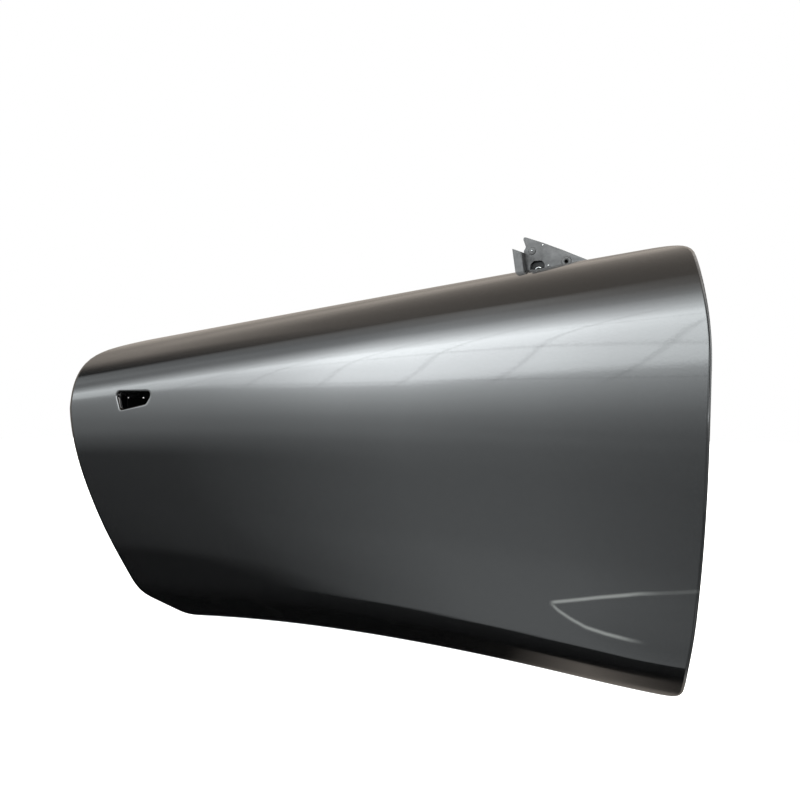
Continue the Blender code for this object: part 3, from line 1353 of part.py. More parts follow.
def mirror_bolt_spots():
    spots = [MIRROR_APEX_X + MIRROR_LENGTH * share for share in MIRROR_BOLT_SHARES]
    return [(x, float(crown_z(x))) for x in spots]


def mirror_points(shares):
    apex = (MIRROR_APEX_X, over_belt(MIRROR_APEX_X, MIRROR_RISE))
    return shaped(apex, (MIRROR_LENGTH, MIRROR_HEIGHT), shares)


def mirror_bracket():
    """Plate that carries the mirror, bolted to the inner belt reinforcement."""
    corners = mirror_points(MIRROR_OUTLINE_SHARES)
    window = rectangle(mirror_points([MIRROR_WINDOW_PLACE_SHARES])[0], (MIRROR_WINDOW_LENGTH, MIRROR_WINDOW_HEIGHT))
    sheet = Sheet()
    rings = [sheet.row(flat_points(round_outline(c, r), crown_seat()))
             for c, r in ((corners, MIRROR_CORNER_RADIUS), (window, MIRROR_WINDOW_RADIUS))]
    sheet.fan(rings[0], [rings[1]], crown_seat())
    body = pressed("mirror_bracket", sheet, MIRROR_GAUGE, (0, -1, 0), SATIN)
    holes = [((x, crown_seat(), z), 'Y', MIRROR_BOLT_BORE, MIRROR_BOLT_BORE, CUT_REACH)
             for x, z in mirror_bolt_spots()]
    hole = mirror_points([MIRROR_HOLE_PLACE_SHARES])[0]
    spot = (hole[0], crown_seat(), hole[1])
    drill(body, holes + [(spot, 'Y', MIRROR_HOLE_BORE, MIRROR_HOLE_BORE, CUT_REACH)])


def mirror_bolts():
    """Hexagon bolts of the mirror bracket."""
    seat = crown_seat() - MIRROR_GAUGE - SEAT_GAP
    across, up = np.array((1.0, 0.0, 0.0)), np.array((0.0, 0.0, 1.0))
    for name, (x, z) in zip(("rear", "middle", "front"), mirror_bolt_spots()):
        head = ring_points(np.zeros(3), across, up, MIRROR_BOLT_HEAD, BOLT_SIDES)
        head[1::2] = (head[0::2] + np.roll(head[0::2], -1, axis=0)) / 2
        shank = ring_points(np.zeros(3), across, up, MIRROR_BOLT_RADIUS, BOLT_SIDES)
        rings = [ring + np.array((x, y, z)) for ring, y in
                 ((head, seat - MIRROR_BOLT_HEAD_HEIGHT), (head, seat), (shank, seat),
                  (shank, seat + MIRROR_BOLT_LENGTH))]
        faces = [tuple(range(BOLT_SIDES)), tuple(range(3 * BOLT_SIDES, 4 * BOLT_SIDES))]
        for n in range(len(rings) - 1):
            one, other = n * BOLT_SIDES, (n + 1) * BOLT_SIDES
            faces += [(one + i, one + (i + 1) % BOLT_SIDES, other + (i + 1) % BOLT_SIDES, other + i)
                      for i in range(BOLT_SIDES)]
        make_object("mirror_bolt_" + name, np.vstack(rings), faces, STEEL)


def pull_bracket():
    """Hat bracket on the cabin side that the pull handle screws to."""
    seat = FACE_Y + PANEL_GAUGE + SEAT_GAP
    path = hat_path(PULL_FOOT, PULL_RAMP, PULL_LENGTH, PULL_STAND)
    path = bent(path[::-1], BRACE_BEND)
    place_x, place_z = face_point(*PULL_PLACE_SHARES)
    lines = [[(place_x + run, seat + y, z) for z in about(place_z, PULL_HEIGHT)] for run, y in path]
    body = swept("pull_handle_bracket", lines, BRACE_GAUGE, (0, 1, 0), COATED)
    reach = seat + PULL_STAND
    spots = [(place_x + way * PULL_BOLT_SPACING / 2, reach, place_z) for way in (-1, 1)]
    drill(body, [(spot, 'Y', PULL_BOLT_BORE, PULL_BOLT_BORE, CUT_REACH) for spot in spots])


for old in list(bpy.data.objects):
    bpy.data.objects.remove(old)
outer_skin()
inner_panel()
outer_belt_brace()
inner_belt_brace()
hinge_braces()
check_brace()
latch_brace()
handle_brace()
beam()
beam_brackets()
mastic_pads()
damping_pads()
glass_channels()
mirror_bracket()
mirror_bolts()
pull_bracket()
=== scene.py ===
# Car door shell: the pressed and welded body of a frameless right-hand front door,
# painted dark grey. X points forward, the outside faces -Y and Z is up, in metres.
import math

import bmesh
import bpy
import numpy as np
from mathutils import Matrix, Vector


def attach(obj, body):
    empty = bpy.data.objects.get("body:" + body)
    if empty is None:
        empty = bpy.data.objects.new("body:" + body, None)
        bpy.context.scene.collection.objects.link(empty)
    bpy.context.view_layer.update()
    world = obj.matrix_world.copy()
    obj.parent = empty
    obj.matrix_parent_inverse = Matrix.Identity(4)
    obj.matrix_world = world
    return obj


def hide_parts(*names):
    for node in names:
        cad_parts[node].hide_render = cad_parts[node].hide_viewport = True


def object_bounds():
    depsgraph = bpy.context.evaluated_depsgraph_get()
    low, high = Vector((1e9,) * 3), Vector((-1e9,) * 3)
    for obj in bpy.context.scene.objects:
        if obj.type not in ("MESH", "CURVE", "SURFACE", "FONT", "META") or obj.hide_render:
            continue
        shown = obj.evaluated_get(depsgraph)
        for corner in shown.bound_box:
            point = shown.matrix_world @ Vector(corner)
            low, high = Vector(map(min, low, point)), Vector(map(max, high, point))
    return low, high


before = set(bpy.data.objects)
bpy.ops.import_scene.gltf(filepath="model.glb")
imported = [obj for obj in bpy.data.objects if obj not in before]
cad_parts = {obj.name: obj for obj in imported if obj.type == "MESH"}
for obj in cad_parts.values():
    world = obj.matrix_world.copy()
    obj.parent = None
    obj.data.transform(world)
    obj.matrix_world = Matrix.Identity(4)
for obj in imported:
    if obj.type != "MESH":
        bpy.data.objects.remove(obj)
cad_box = [list(corner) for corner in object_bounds()]

# ---- Camera and studio -------------------------------------------------------------
# The door is seen from outside and a little from behind, from its own height. It hangs
# over a plain pale floor in a white room lit through a long, low row of windows.
CAMERA_PLACE = (0.2535, -1.2427, -0.0448)
CAMERA_TURN = 31.22
LENS, SENSOR_WIDTH = 36.0, 36.0


def placed(name, data):
    """A new object in the scene, at the origin."""
    thing = bpy.data.objects.new(name, data)
    bpy.context.scene.collection.objects.link(thing)
    return thing


lens = bpy.data.cameras.new("camera")
lens.lens, lens.sensor_width = LENS, SENSOR_WIDTH
camera = placed("camera", lens)
camera.location = CAMERA_PLACE
camera.rotation_euler = (math.radians(90.0), 0.0, math.radians(CAMERA_TURN))
bpy.context.scene.camera = camera
bpy.context.scene.view_settings.view_transform = 'Standard'


def math_node(tree, operation, *values):
    """A Math node fed with numbers or sockets; gives its output."""
    node = tree.nodes.new("ShaderNodeMath")
    node.operation = operation
    for socket, value in zip(node.inputs, values):
        if isinstance(value, (int, float)):
            socket.default_value = value
        else:
            tree.links.new(value, socket)
    return node.outputs[0]


def ramp_node(tree, value, stops, smooth=False):
    """A colour ramp over value; each stop is a place and a colour or a grey level."""
    node = tree.nodes.new("ShaderNodeValToRGB")
    node.color_ramp.interpolation = 'EASE' if smooth else 'LINEAR'
    marks = node.color_ramp.elements
    while len(marks) < len(stops):
        marks.new(0.5)
    for mark, (place, colour) in zip(marks, stops):
        mark.position = place
        mark.color = (*colour, 1.0) if isinstance(colour, tuple) else (colour, colour, colour, 1.0)
    tree.links.new(value, node.inputs[0])
    return node.outputs[0]


WALL_BEARING = 11.0
LOWEST_RISE, RISE_SPAN = -1.5, 4.5
NEAR_END, END_SPAN = -4.0, 8.0
WINDOW_LIGHT, LOW_LIGHT, UPPER_LIGHT = 22.0, 1.75, 1.5
CEILING_LIGHT, ROOM_LIGHT, BACK_LIGHT, SIDE_LIGHT = 0.95, 0.6, 1.6, 1.1
FAR_WINDOW_LIGHT, FLOOR_LIGHT = 5.0, 0.36
PANE_WIDTH, PANE_HEIGHT, BAR_SHARE, BAR_SHADE, BAR_SLANT = 0.23, 0.072, 0.028, 0.84, -1.25
TILT_START, WINDOW_TILT = -0.9, 0.07
COOL, WARM, WHITE = (0.93, 0.98, 1.0), (1.0, 0.90, 0.80), (1.0, 1.0, 1.0)

# The wall with the windows: levels of light by the rise over the distance to it, and by the
# place along it. Its parts are the windows, the low wall, the apron between and the top.
WINDOW_RISES = ((-0.05, 0.0), (0.05, 0.010), (0.12, 0.035), (0.20, 0.08), (0.27, 0.16), (0.32, 0.25),
                (0.355, 0.40), (0.365, 0.66), (0.40, 0.76), (0.44, 0.94), (0.48, 1.0), (0.52, 0.76),
                (0.60, 0.50), (0.68, 0.35), (0.80, 0.18), (0.95, 0.095), (1.20, 0.03), (1.60, 0.012),
                (2.20, 0.0))
WINDOW_ENDS = ((-3.6, 0.06), (-2.6, 0.10), (-1.95, 0.33), (-1.5, 0.50), (-1.3, 0.68), (-1.1, 0.95),
               (-0.9, 1.0), (-0.6, 0.93), (-0.45, 0.80), (-0.2, 0.68), (0.6, 0.55), (2.0, 0.35))
LOW_RISES = ((-1.5, 0.01), (-0.97, 0.012), (-0.88, 0.95), (-0.75, 1.0), (-0.55, 0.96), (-0.4, 0.86),
             (-0.1, 0.80), (0.15, 0.0))
LOW_ENDS = ((-3.8, 0.01), (-3.0, 0.03), (-2.5, 0.03), (-1.95, 0.07), (-1.55, 0.18), (-1.3, 0.42),
            (-1.1, 0.68), (-0.9, 0.94), (-0.75, 1.0), (-0.6, 0.99), (-0.48, 0.84), (-0.3, 0.62),
            (0.6, 0.50), (2.0, 0.4))
APRON_RISES = ((-0.1, 0.0), (0.12, 0.86), (0.3, 0.62), (0.5, 0.0))
APRON_ENDS = ((-3.8, 0.15), (-2.6, 0.35), (-1.95, 0.52), (-1.3, 0.72), (-0.9, 0.92), (-0.6, 0.74),
              (-0.3, 0.46), (0.6, 0.40))
UPPER_RISES = ((0.7, 0.0), (1.0, 1.0), (1.6, 0.8), (2.2, 0.0))
UPPER_ENDS = ((-4.0, 1.0), (-1.0, 0.9), (-0.6, 0.3), (-0.3, 0.0))
PANE_RISES = ((0.34, 0.0), (0.36, 1.0), (0.56, 1.0), (0.62, 0.0))

world = bpy.data.worlds.new("studio")
world.use_nodes = True
bpy.context.scene.world = world
sky = world.node_tree
sky.nodes.clear()
split = sky.nodes.new("ShaderNodeSeparateXYZ")
sky.links.new(sky.nodes.new("ShaderNodeTexCoord").outputs["Generated"], split.inputs[0])
dir_x, dir_y, dir_z = split.outputs
face_x, face_y = math.sin(math.radians(WALL_BEARING)), -math.cos(math.radians(WALL_BEARING))


def product(*values):
    """Product of the sky's sockets and numbers."""
    result = values[0]
    for value in values[1:]:
        result = math_node(sky, 'MULTIPLY', result, value)
    return result


def plus(one, other):
    return math_node(sky, 'ADD', one, other)


toward = plus(product(dir_x, face_x), product(dir_y, face_y))
ahead = math_node(sky, 'MAXIMUM', toward, 0.02)
rise = math_node(sky, 'DIVIDE', dir_z, ahead)
beside = math_node(sky, 'DIVIDE', plus(product(dir_x, -face_y), product(dir_y, face_x)), ahead)
rise_share = math_node(sky, 'DIVIDE', plus(rise, -LOWEST_RISE), RISE_SPAN)
beside_share = math_node(sky, 'DIVIDE', plus(beside, -NEAR_END), END_SPAN)
front = ramp_node(sky, product(toward, 4.0), ((0.0, 0.0), (1.0, 1.0)))
behind = ramp_node(sky, math_node(sky, 'SUBTRACT', 0.1, toward), ((0.0, 0.0), (0.2, 1.0)))
edge_on = math_node(sky, 'SUBTRACT', 1.0, math_node(sky, 'MAXIMUM', front, behind))
up_share = plus(product(dir_z, 0.5), 0.5)
down = product(dir_z, -1.0)


def by_rise(stops, share=rise_share):
    """Level by the rise over the distance to the wall."""
    return ramp_node(sky, share, [((place - LOWEST_RISE) / RISE_SPAN, level) for place, level in stops])


def by_end(stops):
    """Level by the place along the wall."""
    return ramp_node(sky, beside_share, [((place - NEAR_END) / END_SPAN, level) for place, level in stops])


def bars(value, pitch):
    """Dark bars between panes: 1 on the glass, a shade on a bar."""
    share = math_node(sky, 'FRACT', math_node(sky, 'DIVIDE', value, pitch))
    return ramp_node(sky, share, ((0.0, BAR_SHADE), (BAR_SHARE, BAR_SHADE), (2 * BAR_SHARE, 1.0),
                                  (1 - BAR_SHARE, 1.0), (1.0, BAR_SHADE)))


def glow(colour, strength):
    """A background light of one colour and a strength."""
    node = sky.nodes.new("ShaderNodeBackground")
    node.inputs["Color"].default_value = (*colour, 1.0)
    sky.links.new(strength, node.inputs["Strength"])
    return node.outputs[0]


# the wall in front: past TILT_START the windows stand a little higher towards their far end
tilt = math_node(sky, 'MINIMUM', math_node(sky, 'MAXIMUM', plus(beside, -TILT_START), 0.0), 1.0)
tilted = math_node(sky, 'SUBTRACT', rise_share, product(tilt, WINDOW_TILT / RISE_SPAN))
glass = product(bars(plus(beside, product(rise, BAR_SLANT)), PANE_WIDTH), bars(rise, PANE_HEIGHT))
shade = plus(product(plus(glass, -1.0), by_rise(PANE_RISES)), 1.0)
windows = product(by_rise(WINDOW_RISES, tilted), by_end(WINDOW_ENDS), shade, WINDOW_LIGHT)
low = plus(product(by_rise(LOW_RISES), by_end(LOW_ENDS)),
           product(by_rise(APRON_RISES), by_end(APRON_ENDS)))
above = product(by_rise(UPPER_RISES), by_end(UPPER_ENDS), UPPER_LIGHT)
# the rest of the room: ceiling, the other walls, a window in one of them and the floor
ceiling = ramp_node(sky, up_share, ((0.74, 0.0), (0.86, 0.9), (1.0, 1.0)))
room = ramp_node(sky, up_share, ((0.40, 0.0), (0.5, 0.8), (0.8, 1.0), (0.88, 0.0)))
far_side = ramp_node(sky, plus(dir_x, 0.5), ((0.55, 0.0), (0.95, 1.0)), smooth=True)
far_rise = ramp_node(sky, up_share, ((0.42, 0.12), (0.56, 1.0), (0.74, 1.0), (0.86, 0.2)), smooth=True)
floor_strip = ramp_node(sky, down, ((0.0, 0.0), (0.5, 0.6), (0.70, 1.0), (0.78, 1.0), (0.80, 0.5),
                                    (0.82, 0.1), (0.84, 0.0)))
floor_end = ramp_node(sky, plus(dir_x, 1.0), ((0.60, 0.0), (0.68, 1.0)))
back_wall = ramp_node(sky, dir_y, ((0.25, 0.0), (0.6, 1.0)))
back_rise = ramp_node(sky, down, ((0.03, 0.0), (0.12, 1.0), (0.42, 1.0), (0.55, 0.0)))

lights = glow(COOL, product(windows, front))
for colour, strength in ((COOL, product(low, front, LOW_LIGHT)), (COOL, product(above, front)),
                         (COOL, product(edge_on, far_side, SIDE_LIGHT)),
                         (COOL, product(back_wall, back_rise, BACK_LIGHT)),
                         (WARM, product(floor_strip, floor_end, behind, FLOOR_LIGHT)),
                         (WARM, product(ceiling, CEILING_LIGHT)), (WARM, product(behind, room, ROOM_LIGHT)),
                         (WHITE, product(behind, far_side, far_rise, FAR_WINDOW_LIGHT))):
    both = sky.nodes.new("ShaderNodeAddShader")
    sky.links.new(lights, both.inputs[0])
    sky.links.new(glow(colour, strength), both.inputs[1])
    lights = both.outputs[0]
# the camera sees plain white; everything else sees the room
shown = sky.nodes.new("ShaderNodeMixShader")
white = sky.nodes.new("ShaderNodeBackground")
white.inputs["Color"].default_value = (*WHITE, 1.0)
seen = sky.nodes.new("ShaderNodeLightPath").outputs["Is Camera Ray"]
for number, source in enumerate((seen, lights, white.outputs[0])):
    sky.links.new(source, shown.inputs[number])
sky.links.new(shown.outputs[0], sky.nodes.new("ShaderNodeOutputWorld").inputs[0])

FLOOR_DROP, FLOOR_SIZE = 0.20, 12.0


def new_material(name):
    material = bpy.data.materials.new(name)
    material.use_nodes = True
    return material, material.node_tree, material.node_tree.nodes["Principled BSDF"]


floor_z = cad_box[0][2] - FLOOR_DROP
floor_mesh = bpy.data.meshes.new("floor")
floor_mesh.from_pydata([(x * FLOOR_SIZE, y * FLOOR_SIZE, floor_z)
                        for x, y in ((-1, -1), (1, -1), (1, 1), (-1, 1))], [], [(0, 1, 2, 3)])
floor = placed("floor", floor_mesh)
floor.visible_glossy = False
pale, _, pale_shader = new_material("pale_floor")
pale_shader.inputs["Base Color"].default_value = (0.92, 0.92, 0.92, 1.0)
pale_shader.inputs["Roughness"].default_value = 0.9
pale_shader.inputs["Emission Color"].default_value = (1.0, 1.0, 1.0, 1.0)
pale_shader.inputs["Emission Strength"].default_value = 0.75
floor_mesh.materials.append(pale)

# ---- Outer skin --------------------------------------------------------------------
# One pressed steel sheet 1 mm thick, hemmed round the inner panel at the rear, sill and
# front, turned down at the belt, with a flanged opening for the handle. Dark grey paint
# with a fine metal flake under clear lacquer.
DOOR_LENGTH, FRONT_OVERHANG, HINGE_HEIGHT, SIDE_DEPTH = 1.300, 0.055, 0.490, 0.140
BELT_REAR, BELT_MIDDLE, BELT_FRONT = 0.570, 0.626, 0.682
SILL_REAR, SILL_MIDDLE, SILL_FRONT, SILL_SWEEP, SWEEP_START = -0.049, 0.018, -0.003, 0.014, 0.6
PLAN_SETBACK_FRONT, PLAN_SETBACK_REAR = 0.0086, -0.0064
REAR_CUT_BELOW, REAR_CUT_ABOVE, REAR_WIDEST, REAR_CUT_POWER = 0.250, 0.029, 0.72, 1.27
FRONT_CUT_BELOW, FRONT_CUT_ABOVE, FRONT_WIDEST, FRONT_CUT_POWER = 0.060, 0.055, 0.69, 2.78
TOP_REAR_CORNER, TOP_FRONT_CORNER, SILL_REAR_CORNER, SILL_FRONT_CORNER = 0.100, 0.055, 0.040, 0.045
SILL_LEAN = (-71.0, -66.5)
BENDS = (((0.025, 0.025), (0.06, 0.06), (20.9, 14.0)), ((0.17, 0.135), (0.12, 0.06), (38.4, 44.6)),
         ((0.36, 0.36), (0.30, 0.30), (6.7, 10.5)), ((0.58, 0.58), (0.36, 0.36), (11.2, 6.8)),
         ((0.851, 0.9125), (0.304, 0.304), (67.1, 66.0)))
WIDEST_ARC = 0.55
DISH_DEPTH, DISH_REACH, DISH_PLACE, DISH_HALF_HEIGHT = 0.0024, 0.250, 0.215, 0.075
RIM_HEIGHT, RIM_HALF = 0.00020, 0.0038
RIM_BAND = (0.180, 0.306)
UPPER_RIM = ((-0.163, -0.090, -0.035, 0.055), (0.243, 0.268, 0.284, 0.300))
LOWER_RIM = ((-0.163, -0.153, -0.135, -0.113, -0.085, -0.050, 0.000),
             (0.240, 0.2285, 0.2155, 0.2035, 0.1970, 0.1920, 0.188))
RIM_TIP, RIM_TIP_RUN = -0.168, 0.012
UPPER_FADE, UPPER_FADE_RUN, UPPER_FADED = -0.07, 0.08, 0.8
LOWER_END, LOWER_FADE_RUN = -0.020, 0.06
CREST_REAR, CREST_LOW, CREST_HIGH = -0.18, -0.43, -0.26
SKIN_GAUGE, HEM_RADIUS, HEM_RETURN = 0.0010, 0.0019, 0.010
BELT_FOLD_RADIUS, BELT_FLANGE, BELT_TURN, FLANGE_REACH = 0.003, 0.012, 107.0, 1.05
HANDLE_X, HANDLE_BELOW_BELT, HANDLE_SIZE, HANDLE_RADIUS = -1.053, 0.1430, (0.117, 0.0435), 0.010
HANDLE_CORNERS = ((-0.32, -0.50), (0.33, -0.19), (0.50, 0.48), (-0.50, 0.50))
LIP_RADIUS, LIP_DEPTH = 0.0030, 0.004
ARC_STEPS, BLOCK, SIDE_STEP, RISE_STEP = 400, 2000, 0.0006, 0.003
SKIN_ROWS, RIM_ROWS, SKIN_COLUMNS, CORNER_ROWS = 96, 62, 176, 14
END_BUNCHING, DISH_START, DISH_COLUMNS = 0.35, 0.82, 76
LIP_STEPS, FOLD_STEPS, HANDLE_RINGS = 7, 8, 6

REAR_X = FRONT_OVERHANG - DOOR_LENGTH
ARC = np.linspace(0.0, 1.0, ARC_STEPS + 1)


def ease(t):
    t = np.clip(t, 0.0, 1.0)
    return t ** 3 * (t * (6 * t - 15) + 10)


def along_door(x):
    """Place along the door: -1 at the rear, 1 at the front."""
    return 2 * (np.asarray(x, float) - REAR_X) / DOOR_LENGTH - 1


def mix(pair, u):
    return pair[0] + (pair[1] - pair[0]) * (u + 1) / 2


def through(rear, middle, front, u):
    return middle + (front - rear) / 2 * u + ((front + rear) / 2 - middle) * u * u


def belt_z(x):
    return through(BELT_REAR, BELT_MIDDLE, BELT_FRONT, along_door(x)) - HINGE_HEIGHT


def sill_z(x):
    u = along_door(x)
    sweep = np.clip((u - SWEEP_START) / (1 - SWEEP_START), 0, None) ** 3
    return through(SILL_REAR, SILL_MIDDLE, SILL_FRONT, u) + SILL_SWEEP * sweep - HINGE_HEIGHT


def skin_sections(x):
    """Depth and height along the section at each x, and its arc length."""
    x = np.atleast_1d(np.asarray(x, float))
    u = along_door(x)[:, None]
    lean = mix(SILL_LEAN, u)
    for where, width, turn in BENDS:
        lean = lean + mix(turn, u) * ease((ARC[None, :] - mix(where, u)) / mix(width, u) + 0.5)
    lean = np.radians(lean)
    y, z = [np.hstack((np.zeros((len(x), 1)), np.cumsum((w[:, 1:] + w[:, :-1]) / 2, axis=1) / ARC_STEPS))
            for w in (np.sin(lean), np.cos(lean))]
    scale = ((belt_z(x) - sill_z(x)) / z[:, -1])[:, None]
    widest = y[:, int(WIDEST_ARC * ARC_STEPS)][:, None]
    even, odd = (PLAN_SETBACK_FRONT + PLAN_SETBACK_REAR) / 2, (PLAN_SETBACK_FRONT - PLAN_SETBACK_REAR) / 2
    depth = (y - widest) * scale + even * u ** 2 + odd * u ** 3 - SIDE_DEPTH
    return depth, z * scale + sill_z(x)[:, None], scale[:, 0]


ARC_LENGTH = float(skin_sections(REAR_X + DOOR_LENGTH / 2)[2][0])


def crest_share(x, v):
    """Share of its height that the fine crest round the dish has at a place."""
    up, down = [(1 - np.clip((v - np.interp(x, *line)) * ARC_LENGTH / RIM_HALF, -1, 1) ** 2) ** 2
                for line in (UPPER_RIM, LOWER_RIM)]
    start = ease((x - RIM_TIP) / RIM_TIP_RUN)
    upper = up * start * (1 - UPPER_FADED * ease((x - UPPER_FADE) / UPPER_FADE_RUN))
    return np.maximum(upper, down * start * ease((LOWER_END - x) / LOWER_FADE_RUN))


def bare_skin(x, v):
    """Points of the outer face at x and at the share v of the section's arc."""
    y, z, _ = skin_sections(x)
    spot = np.clip(v, 0.0, 1.0) * ARC_STEPS
    low = np.minimum(spot.astype(int), ARC_STEPS - 1)
    part, n = spot - low, np.arange(len(x))
    at = [w[n, low] * (1 - part) + w[n, low + 1] * part for w in (y, z)]
    away = np.hypot((x - FRONT_OVERHANG) / DISH_REACH, (v - DISH_PLACE) / DISH_HALF_HEIGHT)
    dish = DISH_DEPTH * ease(1 - away)
    return np.stack((x, at[0] + dish - RIM_HEIGHT * crest_share(x, v), at[1]), axis=1)


def skin_at(x, v):
    """Points of the outer face and the normals there, in steps that keep the arrays small."""
    x, v = [np.ravel(w).astype(float) for w in np.broadcast_arrays(x, v)]
    points, normals = [], []
    for n in range(0, len(x), BLOCK):
        px, pv = x[n:n + BLOCK], v[n:n + BLOCK]
        across = bare_skin(px + SIDE_STEP, pv) - bare_skin(px - SIDE_STEP, pv)
        upward = bare_skin(px, np.clip(pv + RISE_STEP, 0, 1)) - bare_skin(px, np.clip(pv - RISE_STEP, 0, 1))
        normal = np.cross(across, upward)
        points.append(bare_skin(px, pv))
        normals.append(normal / np.linalg.norm(normal, axis=1)[:, None])
    return np.vstack(points), np.vstack(normals)


def rear_outline(v):
    below = np.clip((REAR_WIDEST - v) / REAR_WIDEST, 0, 1) ** REAR_CUT_POWER
    above = np.clip((v - REAR_WIDEST) / (1 - REAR_WIDEST), 0, 1) ** 2
    edge = REAR_X + REAR_CUT_BELOW * below + REAR_CUT_ABOVE * above
    edge = edge + corner_cut(v * ARC_LENGTH, SILL_REAR_CORNER)
    return edge + corner_cut((1 - v) * ARC_LENGTH, TOP_REAR_CORNER)


def front_outline(v):
    below = np.clip((FRONT_WIDEST - v) / FRONT_WIDEST, 0, 1) ** FRONT_CUT_POWER
    above = np.clip((v - FRONT_WIDEST) / (1 - FRONT_WIDEST), 0, 1) ** 2
    edge = FRONT_OVERHANG - FRONT_CUT_BELOW * below - FRONT_CUT_ABOVE * above
    edge = edge - corner_cut(v * ARC_LENGTH, SILL_FRONT_CORNER)
    return edge - corner_cut((1 - v) * ARC_LENGTH, TOP_FRONT_CORNER)


def corner_cut(distance, reach):
    """How far a rounded corner moves an edge in, at a distance from the crossing edge."""
    return reach * (1 - np.sqrt(np.clip(distance / reach, 0, 1))) ** 2


def arc_share_at(x, z):
    """Arc share of the skin at the height z."""
    heights = skin_sections(x)[1]
    return np.array([np.interp(h, row, ARC) for h, row in zip(np.ravel(z), heights)])


def round_outline(corners, radius, steps):
    """Outline of a polygon, given anticlockwise, with arcs at its corners."""
    out = []
    for i, corner in enumerate(corners):
        corner = Vector(corner)
        back = (Vector(corners[i - 1]) - corner).normalized()
        onward = (Vector(corners[(i + 1) % len(corners)]) - corner).normalized()
        half = math.acos(max(-1.0, min(1.0, back.dot(onward)))) / 2
        reach = radius / math.tan(half)
        centre = corner + (back + onward).normalized() * (radius / math.sin(half))
        start, end = corner + back * reach - centre, corner + onward * reach - centre
        turn = start.angle_signed(end)
        out += [tuple(centre + Matrix.Rotation(-turn * n / steps, 2) @ start) for n in range(steps + 1)]
    return out


def even_outline(corners, radius, count):
    """The same outline in count even steps."""
    fine = np.array(round_outline(corners, radius, 24))
    fine = np.vstack((fine, fine[:1]))
    run = np.concatenate(([0.0], np.cumsum(np.linalg.norm(np.diff(fine, axis=0), axis=1))))
    marks = np.linspace(0, run[-1], count, endpoint=False)
    return np.stack([np.interp(marks, run, fine[:, k]) for k in (0, 1)], axis=1)


def handle_corners(size):
    """Corners of the handle's opening, or of a larger or smaller one round the same middle."""
    z = float(belt_z(HANDLE_X)) - HANDLE_BELOW_BELT
    return [(HANDLE_X + size[0] * a, z + size[1] * b) for a, b in HANDLE_CORNERS]


def row_fold(points, normals, off, radius, turn, steps):
    """Rows of an edge bent round, and the way on and the side at its end."""
    centre, rows = points - normals * radius, []
    for n in range(1, steps + 1):
        angle = np.radians(turn * n / steps)[:, None]
        side = normals * np.cos(angle) + off * np.sin(angle)
        rows.append((centre + side * radius, side))
    return rows, off * np.cos(angle) - normals * np.sin(angle)


def off_edge(points, normals):
    """Direction off the sheet at each point of a closed loop, square to the edge."""
    off = np.cross(np.roll(points, -1, axis=0) - np.roll(points, 1, axis=0), normals)
    return off / np.linalg.norm(off, axis=1)[:, None]


def ring_of(block):
    """Indices round a block of a grid, anticlockwise seen from outside."""
    return np.concatenate((block[0, :-1], block[:-1, -1], block[-1, :0:-1], block[:0:-1, 0]))


def mesh_piece(name, points, faces, node=None):
    """A piece of plain mesh at the origin that rides on the door."""
    data = bpy.data.meshes.new(name)
    data.from_pydata([tuple(p) for p in points], [], [tuple(int(i) for i in f) for f in faces])
    piece = placed(name, data)
    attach(piece, "root")
    if node:
        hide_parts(node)
    return piece


def smoothed(piece, angle=35.0):
    """Outward faces, shaded smooth up to an angle."""
    mesh = bmesh.new()
    mesh.from_mesh(piece.data)
    bmesh.ops.recalc_face_normals(mesh, faces=mesh.faces)
    if mesh.calc_volume(signed=True) < 0:
        bmesh.ops.reverse_faces(mesh, faces=mesh.faces)
    for face in mesh.faces:
        face.smooth = True
    mesh.to_mesh(piece.data)
    mesh.free()
    piece.data.set_sharp_from_angle(angle=math.radians(angle))
    return piece


def skin_rows():
    """Arc shares of the grid's rows, close together in the corners and round the dish."""
    times = np.linspace(0, 1, CORNER_ROWS)
    low = SILL_REAR_CORNER / ARC_LENGTH * (1 - times[::-1]) ** 2
    high = 1 - TOP_REAR_CORNER / ARC_LENGTH * (1 - times) ** 2
    plain = np.linspace(low[-1], high[0], SKIN_ROWS + 2)[1:-1]
    fine = np.linspace(*RIM_BAND, RIM_ROWS + 2)[1:-1]
    return np.concatenate((low, plain[plain <= RIM_BAND[0]], fine, plain[plain >= RIM_BAND[1]], high))


